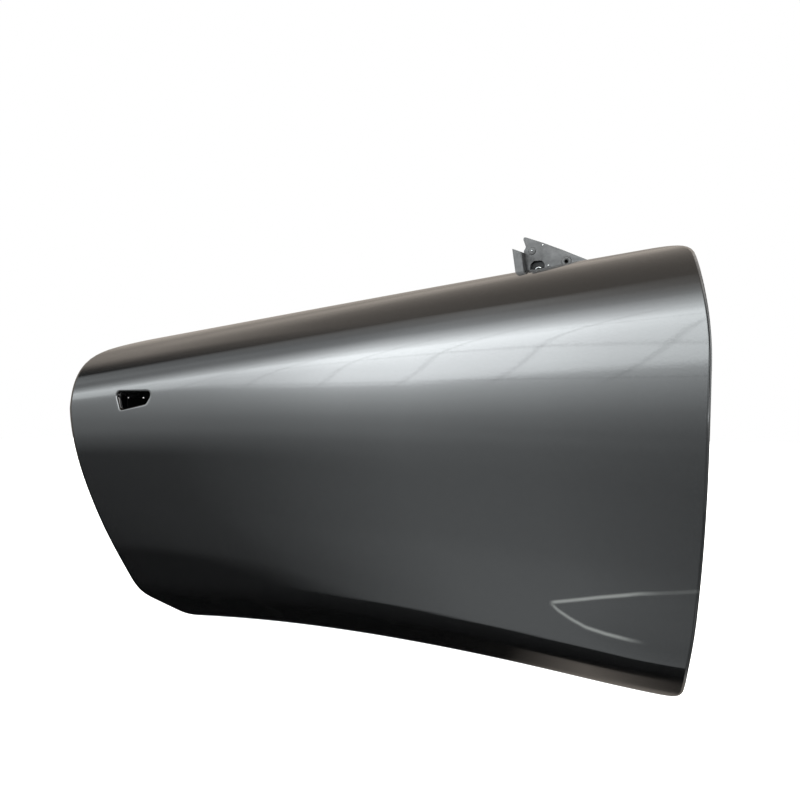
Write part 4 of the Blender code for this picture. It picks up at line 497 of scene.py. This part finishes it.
def build_skin():
    """The whole sheet: outer face, handle lip, hem and belt flange, then its second side."""
    points, normals, faces = [], [], []

    def row(p, n):
        start = sum(len(q) for q in points)
        points.append(np.asarray(p, float))
        normals.append(np.asarray(n, float))
        return np.arange(start, start + len(p))

    def strip(one, other):
        faces.extend(zip(one, np.roll(one, -1), np.roll(other, -1), other))

    rows = skin_rows()
    ends = 0.5 - 0.5 * np.cos(np.pi * np.linspace(0, 1, SKIN_COLUMNS + 1))
    columns = END_BUNCHING * ends + (1 - END_BUNCHING) * np.linspace(0, 1, SKIN_COLUMNS + 1)
    columns = np.concatenate((columns[columns < DISH_START], np.linspace(DISH_START, 1, DISH_COLUMNS)))
    left, right = rear_outline(rows), front_outline(rows)
    x = left[:, None] + (right - left)[:, None] * columns[None, :]
    v = np.broadcast_to(rows[:, None], x.shape)
    grid = row(*skin_at(x, v)).reshape(x.shape)
    # block of the grid that the handle's opening takes
    corners = handle_corners(HANDLE_SIZE)
    spots = np.array(corners)
    around = arc_share_at(spots[:, 0], spots[:, 1])
    low, high = np.searchsorted(rows, (around.min(), around.max())) + (-2, 1)
    line = x[(low + high) // 2]
    first, last = np.searchsorted(line, (spots[:, 0].min(), spots[:, 0].max())) + (-2, 1)
    for i in range(len(rows) - 1):
        for j in range(len(columns) - 1):
            if not (low <= i < high and first <= j < last):
                faces.append((grid[i, j], grid[i, j + 1], grid[i + 1, j + 1], grid[i + 1, j]))
    ring = ring_of(grid[low:high + 1, first:last + 1])
    ring_flat = np.stack((x.ravel()[ring], v.ravel()[ring]), axis=1)
    edge = even_outline(corners, HANDLE_RADIUS, len(ring))
    edge_flat = np.stack((edge[:, 0], arc_share_at(edge[:, 0], edge[:, 1])), axis=1)
    stretch = np.array((1.0, ARC_LENGTH))
    turns = [np.roll(edge_flat, -k, axis=0) for k in range(len(ring))]
    sums = [np.linalg.norm((turn - ring_flat) * stretch, axis=1).sum() for turn in turns]
    edge_flat = turns[int(np.argmin(sums))]
    before = ring
    for n in range(1, HANDLE_RINGS + 1):
        share = n / HANDLE_RINGS
        flat = ring_flat * (1 - share) + edge_flat * share
        at, normal = skin_at(flat[:, 0], flat[:, 1])
        after = row(at, normal)
        strip(before, after)
        before = after
    rows_of, way = row_fold(at, normal, -off_edge(at, normal), LIP_RADIUS, np.full(len(at), 90.0), LIP_STEPS)
    for spot, side in rows_of:
        after = row(spot, side)
        strip(before, after)
        before = after
    after = row(rows_of[-1][0] + way * LIP_DEPTH, rows_of[-1][1])
    strip(before, after)
    # hem and belt flange round the outer edge
    ring = ring_of(grid)
    ex, ev = x.ravel()[ring], v.ravel()[ring]
    at, normal = [np.vstack(w)[ring] for w in (points[:1], normals[:1])]
    off = off_edge(at, normal)
    start = np.where(along_door(ex) < 0, 1 - TOP_REAR_CORNER / ARC_LENGTH, 1 - TOP_FRONT_CORNER / ARC_LENGTH)
    hem = 1 - ease((ev - start) / (1 - start) * FLANGE_REACH)
    radius = (BELT_FOLD_RADIUS + (HEM_RADIUS - BELT_FOLD_RADIUS) * hem)[:, None]
    rows_of, way = row_fold(at, normal, off, radius, BELT_TURN + (180.0 - BELT_TURN) * hem, FOLD_STEPS)
    before = ring
    for spot, side in rows_of:
        after = row(spot, side)
        strip(before, after)
        before = after
    flat = np.stack((ex, ev * ARC_LENGTH), axis=1)
    run = np.roll(flat, -1, axis=0) - np.roll(flat, 1, axis=0)
    inward = np.stack((-run[:, 1], run[:, 0]), axis=1) / np.linalg.norm(run, axis=1)[:, None]
    under = flat + inward * HEM_RETURN
    spot, face = skin_at(under[:, 0], under[:, 1] / ARC_LENGTH)
    hemmed, flanged = spot - face * 2 * HEM_RADIUS, rows_of[-1][0] + way * BELT_FLANGE
    share = hem[:, None]
    side = rows_of[-1][1] * (1 - share) - face * share
    after = row(flanged * (1 - share) + hemmed * share, side / np.linalg.norm(side, axis=1)[:, None])
    strip(before, after)
    # second side of the sheet and the rim that joins them
    outer, turned = np.vstack(points), np.vstack(normals)
    count = len(outer)
    edges = {}
    for f in faces:
        for a, b in zip(f, (*f[1:], f[0])):
            edges[(int(a), int(b))] = True
    rim = [(b, a, a + count, b + count) for a, b in edges if (b, a) not in edges]
    back = [tuple(i + count for i in f[::-1]) for f in faces]
    used = sorted({int(i) for f in faces for i in f})
    place_of = {old: new for new, old in enumerate(used)}
    place_of.update({old + count: new + len(used) for new, old in enumerate(used)})
    everything = np.vstack((outer[used], (outer - turned * SKIN_GAUGE)[used]))
    return everything, [tuple(place_of[int(i)] for i in f) for f in list(faces) + back + rim]


skin_piece = smoothed(mesh_piece("door_skin", *build_skin(), node="outer_skin"))
# crest mask for the painted highlight: each vertex near the dish gets the crest's share, kept as the crest
# attribute
spots = np.array([vertex.co for vertex in skin_piece.data.vertices])
near = np.flatnonzero((spots[:, 0] > CREST_REAR) & (spots[:, 2] > CREST_LOW) & (spots[:, 2] < CREST_HIGH))
crest = np.zeros(len(spots))
for part in np.array_split(near, 8):
    crest[part] = crest_share(spots[part, 0], arc_share_at(spots[part, 0], spots[part, 2]))
skin_piece.data.attributes.new("crest", 'FLOAT', 'POINT').data.foreach_set("value", crest)


def object_place(tree, scale=(1.0, 1.0, 1.0)):
    """Object coordinates, stretched."""
    coordinates = tree.nodes.new("ShaderNodeTexCoord")
    mapping = tree.nodes.new("ShaderNodeMapping")
    mapping.inputs["Scale"].default_value = scale
    tree.links.new(coordinates.outputs["Object"], mapping.inputs["Vector"])
    return mapping.outputs[0]


def noise(tree, place, scale, detail=2.0, roughness=0.5):
    node = tree.nodes.new("ShaderNodeTexNoise")
    node.inputs["Scale"].default_value = scale
    node.inputs["Detail"].default_value = detail
    node.inputs["Roughness"].default_value = roughness
    tree.links.new(place, node.inputs["Vector"])
    return node.outputs["Fac"]


def cells(tree, place, scale):
    """Small random cells; the node gives their colours and distances."""
    node = tree.nodes.new("ShaderNodeTexVoronoi")
    node.inputs["Scale"].default_value = scale
    tree.links.new(place, node.inputs["Vector"])
    return node


def level_of(tree, colour):
    """One level from the colour of a cell."""
    parts = tree.nodes.new("ShaderNodeSeparateColor")
    tree.links.new(colour, parts.inputs[0])
    return parts.outputs[0]


def varied(tree, socket, value, stops):
    """Feed a shader's socket from a value through a ramp."""
    tree.links.new(ramp_node(tree, value, stops), socket)


def bump(tree, height, strength, distance, onto=None):
    node = tree.nodes.new("ShaderNodeBump")
    node.inputs["Strength"].default_value = strength
    node.inputs["Distance"].default_value = distance
    tree.links.new(height, node.inputs["Height"])
    if onto is not None:
        tree.links.new(onto, node.inputs["Normal"])
    return node.outputs[0]


def flake_paint(name, dark, light, lacquer_rough, peel, crest_highlight_colour=None):
    """Metallic paint: dark base with fine flakes, under clear lacquer with slight orange peel.

    Where the mesh has the crest attribute, the paint there is lightened towards the crest colour: a painted
    highlight along the crest.
    """
    material, tree, shader = new_material(name)
    at = object_place(tree)
    flake = level_of(tree, cells(tree, at, 2600.0).outputs["Color"])
    colour = ramp_node(tree, flake, ((0.0, dark), (0.75, dark), (1.0, light)))
    if crest_highlight_colour:
        # painted highlight: the base colour is lightened along the crest by the crest mask
        highlight_mask_of = tree.nodes.new("ShaderNodeAttribute")
        highlight_mask_of.attribute_name = "crest"
        painted_highlight = tree.nodes.new("ShaderNodeMix")
        painted_highlight.data_type = 'RGBA'
        painted_highlight.inputs["B"].default_value = (*crest_highlight_colour, 1.0)
        tree.links.new(highlight_mask_of.outputs["Fac"], painted_highlight.inputs["Factor"])
        tree.links.new(colour, painted_highlight.inputs["A"])
        colour = painted_highlight.outputs["Result"]
    tree.links.new(colour, shader.inputs["Base Color"])
    shader.inputs["Metallic"].default_value = 0.5
    shader.inputs["Specular IOR Level"].default_value = 0.05
    varied(tree, shader.inputs["Roughness"], noise(tree, at, 9.0), ((0.3, 0.40), (0.7, 0.46)))
    shader.inputs["Coat Weight"].default_value = 1.0
    shader.inputs["Coat Roughness"].default_value = lacquer_rough
    shader.inputs["Coat IOR"].default_value = 1.5
    waves = bump(tree, noise(tree, at, 260.0, 1.0), peel, 0.0004)
    tree.links.new(waves, shader.inputs["Coat Normal"])
    return material


# the crest colour is a painted highlight, a pale thin line along the rim of the dish
dark_grey = flake_paint("dark_grey_paint", (0.0025, 0.0026, 0.0027), (0.014, 0.014, 0.0145), 0.02, 0.02,
                        crest_highlight_colour=(0.115, 0.118, 0.112))
skin_piece.data.materials.append(dark_grey)

# ---- Inner panel -------------------------------------------------------------------
# One deep-drawn steel sheet whose rim is clamped in the hem of the outer skin. It has the
# door's own paint, thinner and less glossy than outside.
MERGE_DISTANCE = 0.00001


def rough_object(mesh, name):
    """An object of its own that holds a bmesh until its modifiers are applied."""
    rough = placed(name + "_rough", bpy.data.meshes.new(name + "_rough"))
    mesh.to_mesh(rough.data)
    mesh.free()
    return rough


def finished_mesh(rough):
    """Mesh of an object with its modifiers applied; the object itself goes."""
    data = bpy.data.meshes.new_from_object(rough.evaluated_get(bpy.context.evaluated_depsgraph_get()))
    bpy.data.objects.remove(rough)
    return data


def smooth_copy(node, name, angle=30.0):
    """The CAD sheet with its corners merged and its bends shaded smooth; stands for the node."""
    mesh = bmesh.new()
    mesh.from_mesh(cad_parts[node].data)
    bmesh.ops.remove_doubles(mesh, verts=mesh.verts, dist=MERGE_DISTANCE)
    rough = smoothed(rough_object(mesh, name), angle)
    # broad faces keep their own way, so that flats stay flat beside their bends
    rough.modifiers.new("flats", 'WEIGHTED_NORMAL').keep_sharp = True
    data = finished_mesh(rough)
    data.materials.clear()
    piece = placed(name, data)
    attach(piece, "root")
    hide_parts(node)
    return piece


inner_paint = flake_paint("inner_paint", (0.020, 0.0205, 0.021), (0.07, 0.07, 0.073), 0.16, 0.06)
smooth_copy("inner_panel", "door_inner_panel").data.materials.append(inner_paint)

# ---- Welded reinforcements ---------------------------------------------------------
# Pressed steel braces inside the shell, dipped in dark electrocoat that dries satin with
# a fine mottle. Spot welded to the walls of the inner panel and along the belt.
def coated_steel(name, dark, light, gloss):
    """Electrocoated or painted steel: a satin mottle and faint press lines."""
    material, tree, shader = new_material(name)
    at = object_place(tree)
    varied(tree, shader.inputs["Base Color"], noise(tree, at, 90.0, 4.0, 0.6), ((0.35, dark), (0.7, light)))
    sheen = noise(tree, at, 22.0, 3.0)
    varied(tree, shader.inputs["Roughness"], sheen, ((0.3, gloss), (0.75, gloss + 0.16)))
    shader.inputs["Specular IOR Level"].default_value = 0.45
    fine = bump(tree, noise(tree, at, 700.0, 2.0), 0.12, 0.0003)
    lines = noise(tree, object_place(tree, (4.0, 4.0, 1.0)), 30.0, 1.0)
    tree.links.new(bump(tree, lines, 0.08, 0.001, fine), shader.inputs["Normal"])
    return material


electrocoat = coated_steel("electrocoat", (0.012, 0.013, 0.014), (0.030, 0.031, 0.033), 0.34)
for node in ("upper_hinge_reinforcement", "lower_hinge_reinforcement", "check_strap_reinforcement",
             "latch_reinforcement", "inner_belt_reinforcement", "outer_belt_reinforcement",
             "pull_handle_bracket"):
    smooth_copy(node, "door_" + node).data.materials.append(electrocoat)

# ---- Side beam ---------------------------------------------------------------------
# High-strength steel tube between the hinge and latch walls, in two pressed cradles.
beam_coat = coated_steel("beam_coat", (0.016, 0.017, 0.018), (0.045, 0.046, 0.048), 0.28)
for node in ("intrusion_beam", "beam_bracket_front", "beam_bracket_rear"):
    smooth_copy(node, "door_" + node).data.materials.append(beam_coat)

# ---- Glass channels ----------------------------------------------------------------
# Rolled steel channels that guide the window glass, each on a foot and a spacer block.
channel_coat = coated_steel("channel_coat", (0.024, 0.024, 0.024), (0.052, 0.051, 0.051), 0.38)
for node in ("front_glass_channel", "rear_glass_channel", "front_channel_foot", "rear_channel_foot",
             "front_channel_spacer", "rear_channel_spacer"):
    smooth_copy(node, "door_" + node).data.materials.append(channel_coat)

# ---- Hinge nut plates --------------------------------------------------------------
# Loose steel plates with threaded holes, zinc plated and passivated, as the mirror
# bracket's bolts are.
def zinc_plate(name, dark, light):
    """Zinc plated steel: small spangles and a slightly uneven sheen."""
    material, tree, shader = new_material(name)
    at = object_place(tree)
    spangle = level_of(tree, cells(tree, at, 420.0).outputs["Color"])
    varied(tree, shader.inputs["Base Color"], spangle, ((0.0, dark), (1.0, light)))
    shader.inputs["Metallic"].default_value = 1.0
    varied(tree, shader.inputs["Roughness"], noise(tree, at, 60.0, 3.0), ((0.3, 0.28), (0.7, 0.46)))
    tree.links.new(bump(tree, noise(tree, at, 900.0), 0.10, 0.0002), shader.inputs["Normal"])
    return material


zinc = zinc_plate("zinc_plating", (0.38, 0.39, 0.40), (0.56, 0.56, 0.55))
for node in ("upper_hinge_nut_plate", "lower_hinge_nut_plate", "mirror_bolt_front", "mirror_bolt_middle",
             "mirror_bolt_rear"):
    smooth_copy(node, "door_" + node).data.materials.append(zinc)

# ---- Damping pads and mastic -------------------------------------------------------
# Bitumen sheets melted on to the back of the skin, and soft mastic pads on the beam.
def soft_black(name, dark, light, pore, depth):
    """Dull black filler with pores and smears."""
    material, tree, shader = new_material(name)
    at = object_place(tree)
    varied(tree, shader.inputs["Base Color"], noise(tree, at, 55.0, 5.0, 0.65), ((0.3, dark), (0.75, light)))
    varied(tree, shader.inputs["Roughness"], noise(tree, at, 35.0, 3.0), ((0.3, 0.62), (0.7, 0.85)))
    pores = cells(tree, at, pore).outputs["Distance"]
    tree.links.new(bump(tree, pores, 0.5, depth), shader.inputs["Normal"])
    return material


bitumen = soft_black("bitumen", (0.008, 0.0075, 0.007), (0.022, 0.020, 0.018), 170.0, 0.0008)
mastic = soft_black("mastic", (0.014, 0.014, 0.015), (0.030, 0.030, 0.032), 520.0, 0.0003)
for node, filler in (("damping_pad_front", bitumen), ("damping_pad_rear", bitumen),
                     ("mastic_pad_front", mastic), ("mastic_pad_middle", mastic),
                     ("mastic_pad_rear", mastic)):
    smooth_copy(node, "door_" + node).data.materials.append(filler)

# ---- Handle reinforcement ----------------------------------------------------------
# Pressed ring of 1.6 mm steel spot welded behind the skin, its opening flanged inwards.
CAD_HANDLE_SIZE, CAD_HANDLE_RADIUS = (0.098, 0.042), 0.007
BRACE_MARGIN, BRACE_SEAT_END, BRACE_RELIEF_END, BRACE_CLEARANCE = 0.024, 0.0125, 0.0075, 0.0022
BRACE_SEAT, BRACE_RELIEF, BRACE_FLANGE, BRACE_GAUGE = 0.0016, 0.006, 0.005, 0.0016
BRACE_COUNT = 120


def grown(corners, distance):
    """A polygon with every side moved out by a distance."""
    out = []
    for i, corner in enumerate(corners):
        corner = Vector(corner)
        back = (corner - Vector(corners[i - 1])).normalized()
        onward = (Vector(corners[(i + 1) % len(corners)]) - corner).normalized()
        sides = [Vector((way.y, -way.x)) for way in (back, onward)]
        out.append(tuple(corner + (sides[0] + sides[1]) * (distance / (1 + sides[0].dot(sides[1])))))
    return out


def loop_faces(rows, count):
    """Faces between closed rows of count points, the last row joined to the first."""
    return [(k * count + n, k * count + (n + 1) % count, (k + 1) % rows * count + (n + 1) % count,
             (k + 1) % rows * count + n) for k in range(rows) for n in range(count)]


def build_handle_brace():
    """The ring: a seat on the skin, a relief round the opening and a flange, 1.6 mm thick."""
    def loop(size, radius, spread):
        spots = even_outline(grown(handle_corners(size), spread), radius + spread, BRACE_COUNT)
        return spots[:, 0], arc_share_at(spots[:, 0], spots[:, 1])

    rings = [(loop(CAD_HANDLE_SIZE, CAD_HANDLE_RADIUS, BRACE_MARGIN), BRACE_SEAT)]
    for spread, depth in ((BRACE_SEAT_END, BRACE_SEAT), (BRACE_RELIEF_END, BRACE_SEAT + BRACE_RELIEF),
                          (BRACE_CLEARANCE, BRACE_SEAT + BRACE_RELIEF)):
        rings.append((loop(HANDLE_SIZE, HANDLE_RADIUS, spread), depth))
    front, back = [], []
    for (x, v), depth in rings:
        points, normals = skin_at(x, v)
        front.append(points - normals * depth)
        back.append(points - normals * (depth + BRACE_GAUGE))
    away = -off_edge(points, normals)
    front.append(front[-1] - normals * BRACE_FLANGE)
    from_middle = front[-1] - front[-1].mean(axis=0)
    if np.linalg.norm(from_middle + away, axis=1).mean() < np.linalg.norm(from_middle, axis=1).mean():
        away = -away
    back[-1] = back[-1] + away * BRACE_GAUGE
    back.append(front[-1] + away * BRACE_GAUGE)
    rows = front + back[::-1]
    return np.vstack(rows), loop_faces(len(rows), BRACE_COUNT)


handle_brace = mesh_piece("door_handle_reinforcement", *build_handle_brace(), node="handle_reinforcement")
smoothed(handle_brace, 40.0).data.materials.append(electrocoat)

# ---- Latch seal --------------------------------------------------------------------
# Thin black moulded sheet inside the latch reinforcement that keeps water off the lock.
SEAL_X, SEAL_THICK, SEAL_EDGE, SEAL_CORNER = -1.1864, 0.0011, 0.0003, 0.006
SEAL_CORNERS = ((-0.0405, -0.1295), (0.0230, -0.1295), (0.0230, -0.0405), (-0.0405, -0.0405))


def cut_plate(name, outlines, thick, edge, place, node=None):
    """A flat plate with holes and rounded edges. place turns a 2-D point into a point of its back."""
    mesh = bmesh.new()
    for outline in outlines:
        corners = [mesh.verts.new(place(a, b)) for a, b in outline]
        for one, other in zip(corners, corners[1:] + corners[:1]):
            mesh.edges.new((one, other))
    bmesh.ops.triangle_fill(mesh, use_beauty=True, use_dissolve=False, edges=mesh.edges[:])
    bmesh.ops.recalc_face_normals(mesh, faces=mesh.faces)
    mesh.normal_update()
    facing = sum((face.normal for face in mesh.faces), Vector())
    if facing.y > 0.5 or facing.x > 0.5:
        bmesh.ops.reverse_faces(mesh, faces=mesh.faces)
    rough = rough_object(mesh, name)
    body = rough.modifiers.new("body", 'SOLIDIFY')
    body.thickness, body.offset = thick, 1.0
    rounding = rough.modifiers.new("rounding", 'BEVEL')
    rounding.width, rounding.segments, rounding.limit_method = edge, 3, 'ANGLE'
    piece = placed(name, finished_mesh(rough))
    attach(piece, "root")
    if node:
        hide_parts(node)
    return smoothed(piece, 40.0)


def moulded_black(name, level, gloss, grain):
    """Moulded black plastic or rubber with a fine leather-like grain."""
    material, tree, shader = new_material(name)
    at = object_place(tree)
    varied(tree, shader.inputs["Base Color"], noise(tree, at, 40.0, 4.0), ((0.3, level), (0.7, level * 1.8)))
    varied(tree, shader.inputs["Roughness"], noise(tree, at, 25.0), ((0.3, gloss), (0.7, gloss + 0.15)))
    shader.inputs["Specular IOR Level"].default_value = 0.3
    tree.links.new(bump(tree, noise(tree, at, grain, 3.0), 0.3, 0.0002), shader.inputs["Normal"])
    return material


# black moulded plastic of the latch seal; the same black on the sheet behind the mirror plate is painted
# shade
black_seal_and_shade = moulded_black("black_seal_and_shade", 0.004, 0.60, 900.0)
latch_seal = cut_plate("latch_seal", [round_outline(SEAL_CORNERS, SEAL_CORNER, 6)], SEAL_THICK,
                       SEAL_EDGE, lambda a, b: (SEAL_X, a, b))
latch_seal.data.materials.append(black_seal_and_shade)

# ---- Mirror bracket ----------------------------------------------------------------
# Cast plate that carries the outside mirror, bolted to the belt in the corner of the
# window slot, with a boss, a raised eye, small rivets and a black sheet behind it whose black is painted
# shade.
PLATE_OUTLINE = ((-0.2645, 0.2232), (-0.2640, 0.2273), (-0.2600, 0.2273), (-0.2288, 0.2148),
                 (-0.1940, 0.1992), (-0.1545, 0.1802), (-0.1545, 0.1115), (-0.2520, 0.1115),
                 (-0.2638, 0.2050), (-0.2598, 0.2105))
PLATE_BACK, PLATE_THICK, PLATE_EDGE, PLATE_CORNER = 0.0158, 0.0050, 0.0009, 0.0012
PLATE_WINDOW = ((-0.2523, 0.1600), (-0.2269, 0.1600), (-0.2269, 0.1865), (-0.2523, 0.1865))
WINDOW_CORNER = 0.0095
BOLT_START, BOLT_RUN, BOLT_SHARES = -0.266, 0.112, (0.2, 0.53, 0.86)
BOLT_BELOW_BELT, BOLT_BORE = 0.041, 0.0036
EYE, EYE_RIM, EYE_BORE = (-0.1895, 0.1802), 0.0088, 0.0033
BOSS, BOSS_RIM, BOSS_BORE = (-0.2490, 0.2034), 0.0066, 0.0010
RIVETS = (((-0.2302, 0.2112), 0.0), ((-0.2203, 0.1767), 0.0), (BOSS, 0.0016))
CLIP, CLIP_RADIUS, CLIP_WIRE, CLIP_SUNK = (-0.2385, 0.1695), 0.0062, 0.0012, 0.0030
# the black sheet behind the plate: painted shade that shows dark through the plate's openings and past its
# rear edge
SHADE_BACKING_BACK, SHADE_BACKING_THICK, SHADE_BACKING_EDGE, SHADE_BACKING_CORNER = 0.0191, 0.0028, 0.0005, 0.0008
SHADE_BACKING_OUTLINE = ((-0.2705, 0.1465), (-0.2705, 0.1990), (-0.2632, 0.2060), (-0.2618, 0.2225),
                  (-0.2595, 0.2240), (-0.2288, 0.2118), (-0.1940, 0.1960), (-0.1575, 0.1775),
                  (-0.1575, 0.1465))


def circle(middle, radius, steps):
    return [(middle[0] + radius * math.cos(2 * math.pi * n / steps),
             middle[1] + radius * math.sin(2 * math.pi * n / steps)) for n in range(steps)]


def turned(name, middle, profile, slot):
    """A round part turned about the way out of the plate; profile is radius and height over it."""
    steps, face = 40, PLATE_BACK - PLATE_THICK
    points = [(x, face - height, z) for radius, height in profile for x, z in circle(middle, radius, steps)]
    piece = mesh_piece(name, points, loop_faces(len(profile), steps))
    return smoothed(piece, 40.0)


def flat(depth):
    """Puts the 2-D points of a plate at a depth."""
    return lambda a, b: (a, depth, b)


plate_grey = coated_steel("plate_grey", (0.026, 0.026, 0.026), (0.058, 0.057, 0.057), 0.40)
bolt_x = [BOLT_START + BOLT_RUN * share for share in BOLT_SHARES]
openings = [round_outline(PLATE_WINDOW, WINDOW_CORNER, 10), circle(EYE, EYE_BORE, 32)]
openings += [circle((x, float(belt_z(x)) - BOLT_BELOW_BELT), BOLT_BORE, 24) for x in bolt_x]
plate = cut_plate("mirror_plate", [round_outline(PLATE_OUTLINE, PLATE_CORNER, 4)] + openings, PLATE_THICK,
                  PLATE_EDGE, flat(PLATE_BACK), "mirror_bracket")
eye = turned("mirror_eye", EYE, ((EYE_BORE, -0.001), (EYE_BORE, 0.0010), (EYE_BORE + 0.0006, 0.0015),
                                 (EYE_RIM - 0.0022, 0.0015), (EYE_RIM - 0.0008, 0.0011), (EYE_RIM, 0.0001),
                                 (EYE_RIM, -0.001)), "mirror_bracket")
boss = turned("mirror_boss", BOSS, ((BOSS_BORE, -0.001), (BOSS_BORE, 0.0014), (BOSS_RIM - 0.0014, 0.0016),
                                    (BOSS_RIM - 0.0004, 0.0011), (BOSS_RIM, 0.0001), (BOSS_RIM, -0.001)),
              "mirror_bracket")
for piece in (plate, eye, boss):
    piece.data.materials.append(plate_grey)
for number, (spot, stand) in enumerate(RIVETS):
    rivet = turned("mirror_rivet_%d" % number, spot,
                   ((0.00002, stand - 0.0005), (0.00002, stand + 0.0012), (0.0008, stand + 0.0011),
                    (0.0014, stand + 0.0007), (0.0017, stand), (0.0017, stand - 0.0005)),
                   "mirror_bolt_front")
    rivet.data.materials.append(zinc)
wire = circle((CLIP_RADIUS, -CLIP_SUNK), CLIP_WIRE, 12)
clip = turned("mirror_clip", CLIP, wire, "mirror_bracket")
clip.data.materials.append(zinc)
# black sheet behind the plate, whose black is painted shade seen through the window, the bolt holes and the
# slit by the glass channel
shade_backing = cut_plate("mirror_shade_backing", [round_outline(SHADE_BACKING_OUTLINE, SHADE_BACKING_CORNER, 4)], SHADE_BACKING_THICK,
                   SHADE_BACKING_EDGE, flat(SHADE_BACKING_BACK))
shade_backing.data.materials.append(black_seal_and_shade)

# ---- Hem welds and sealer ----------------------------------------------------------
# Spot welds along the rim of the inner panel and a bead of sealer on the edge of the hem.
WELD_PITCH, WELD_SIZE, WELD_INSET, WELD_HEIGHT, FLANGE_FACE = 0.055, 0.0028, 0.0150, 0.12, 0.0024
BEAD_PITCH, BEAD_SIZE, BEAD_INSET, BEAD_DEPTH = 0.004, 0.0011, 0.0108, 0.0030
HEM_TOP, END_POINTS, SILL_POINTS, LEAST_STEP = 0.86, 200, 300, 0.0002


def rim_line(inset, depth):
    """Points and outward normals along the hem, from the rear edge round to the front."""
    climb = HEM_TOP * np.linspace(0, 1, END_POINTS) ** 2
    ends = [float(outline(np.zeros(1))[0]) for outline in (rear_outline, front_outline)]
    base = np.linspace(*ends, SILL_POINTS)[1:-1]
    flat_x = np.concatenate((rear_outline(climb[::-1]), base, front_outline(climb)))
    flat_v = np.concatenate((climb[::-1], np.zeros(len(base)), climb)) * ARC_LENGTH
    path = np.stack((flat_x, flat_v), axis=1)
    run = np.gradient(path, axis=0)
    aside = np.stack((-run[:, 1], run[:, 0]), axis=1) / np.linalg.norm(run, axis=1)[:, None]
    path = path + aside * inset
    points, normals = skin_at(path[:, 0], path[:, 1] / ARC_LENGTH)
    keep = np.concatenate(([True], np.linalg.norm(np.diff(points, axis=0), axis=1) > LEAST_STEP))
    return (points - normals * depth)[keep], normals[keep]


def rim_group(name, build):
    """A Geometry Nodes group with a line in, a pitch or size, and plain mesh out."""
    group = bpy.data.node_groups.new(name, 'GeometryNodeTree')
    group.interface.new_socket("Line", in_out='INPUT', socket_type='NodeSocketGeometry')
    pitch = group.interface.new_socket("Pitch", in_out='INPUT', socket_type='NodeSocketFloat')
    size = group.interface.new_socket("Size", in_out='INPUT', socket_type='NodeSocketFloat')
    group.interface.new_socket("Mesh", in_out='OUTPUT', socket_type='NodeSocketGeometry')
    start, end = group.nodes.new("NodeGroupInput"), group.nodes.new("NodeGroupOutput")
    curve = group.nodes.new("GeometryNodeMeshToCurve")
    group.links.new(start.outputs["Line"], curve.inputs["Mesh"])
    even = group.nodes.new("GeometryNodeResampleCurve")
    even.mode = 'LENGTH'
    group.links.new(curve.outputs[0], even.inputs["Curve"])
    group.links.new(start.outputs["Pitch"], even.inputs["Length"])
    made = build(group, even.outputs[0], start.outputs["Size"])
    real = group.nodes.new("GeometryNodeRealizeInstances")
    group.links.new(made, real.inputs[0])
    finish = group.nodes.new("GeometryNodeSetMaterial")
    group.links.new(real.outputs[0], finish.inputs["Geometry"])
    finish.inputs["Material"].default_value = inner_paint
    group.links.new(finish.outputs[0], end.inputs[0])
    return group, pitch.identifier, size.identifier


def welds(group, curve, size):
    """Low domes set square on the flange."""
    dome = group.nodes.new("GeometryNodeMeshUVSphere")
    dome.inputs["Segments"].default_value, dome.inputs["Rings"].default_value = 20, 10
    group.links.new(size, dome.inputs["Radius"])
    flat_dome = group.nodes.new("GeometryNodeTransform")
    flat_dome.inputs["Scale"].default_value = (1.0, 1.0, WELD_HEIGHT)
    group.links.new(dome.outputs["Mesh"], flat_dome.inputs["Geometry"])
    facing = group.nodes.new("GeometryNodeInputNamedAttribute")
    facing.data_type = 'FLOAT_VECTOR'
    facing.inputs["Name"].default_value = "facing"
    turn = group.nodes.new("FunctionNodeAlignRotationToVector")
    turn.axis = 'Z'
    group.links.new(facing.outputs["Attribute"], turn.inputs["Vector"])
    spread = group.nodes.new("GeometryNodeInstanceOnPoints")
    group.links.new(curve, spread.inputs["Points"])
    group.links.new(flat_dome.outputs[0], spread.inputs["Instance"])
    group.links.new(turn.outputs[0], spread.inputs["Rotation"])
    return spread.outputs[0]


def bead(group, curve, size):
    """A round bead along the line."""
    profile = group.nodes.new("GeometryNodeCurvePrimitiveCircle")
    profile.inputs["Resolution"].default_value = 10
    group.links.new(size, profile.inputs["Radius"])
    tube = group.nodes.new("GeometryNodeCurveToMesh")
    tube.inputs["Fill Caps"].default_value = True
    group.links.new(curve, tube.inputs["Curve"])
    group.links.new(profile.outputs["Curve"], tube.inputs["Profile Curve"])
    return tube.outputs[0]


for name, build, inset, depth, pitch, size in (
        ("hem_welds", welds, WELD_INSET, FLANGE_FACE, WELD_PITCH, WELD_SIZE),
        ("hem_sealer", bead, BEAD_INSET, BEAD_DEPTH, BEAD_PITCH, BEAD_SIZE)):
    points, normals = rim_line(inset, depth)
    line = bpy.data.meshes.new(name + "_line")
    line.from_pydata([tuple(p) for p in points], [(n, n + 1) for n in range(len(points) - 1)], [])
    line.attributes.new("facing", 'FLOAT_VECTOR', 'POINT').data.foreach_set("vector", normals.ravel())
    guide = placed(name + "_line", line)
    group, pitch_name, size_name = rim_group(name, build)
    modifier = guide.modifiers.new(name, 'NODES')
    modifier.node_group = group
    modifier[pitch_name], modifier[size_name] = pitch, size
    piece = placed(name, finished_mesh(guide))
    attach(piece, "root")
    smoothed(piece, 60.0)
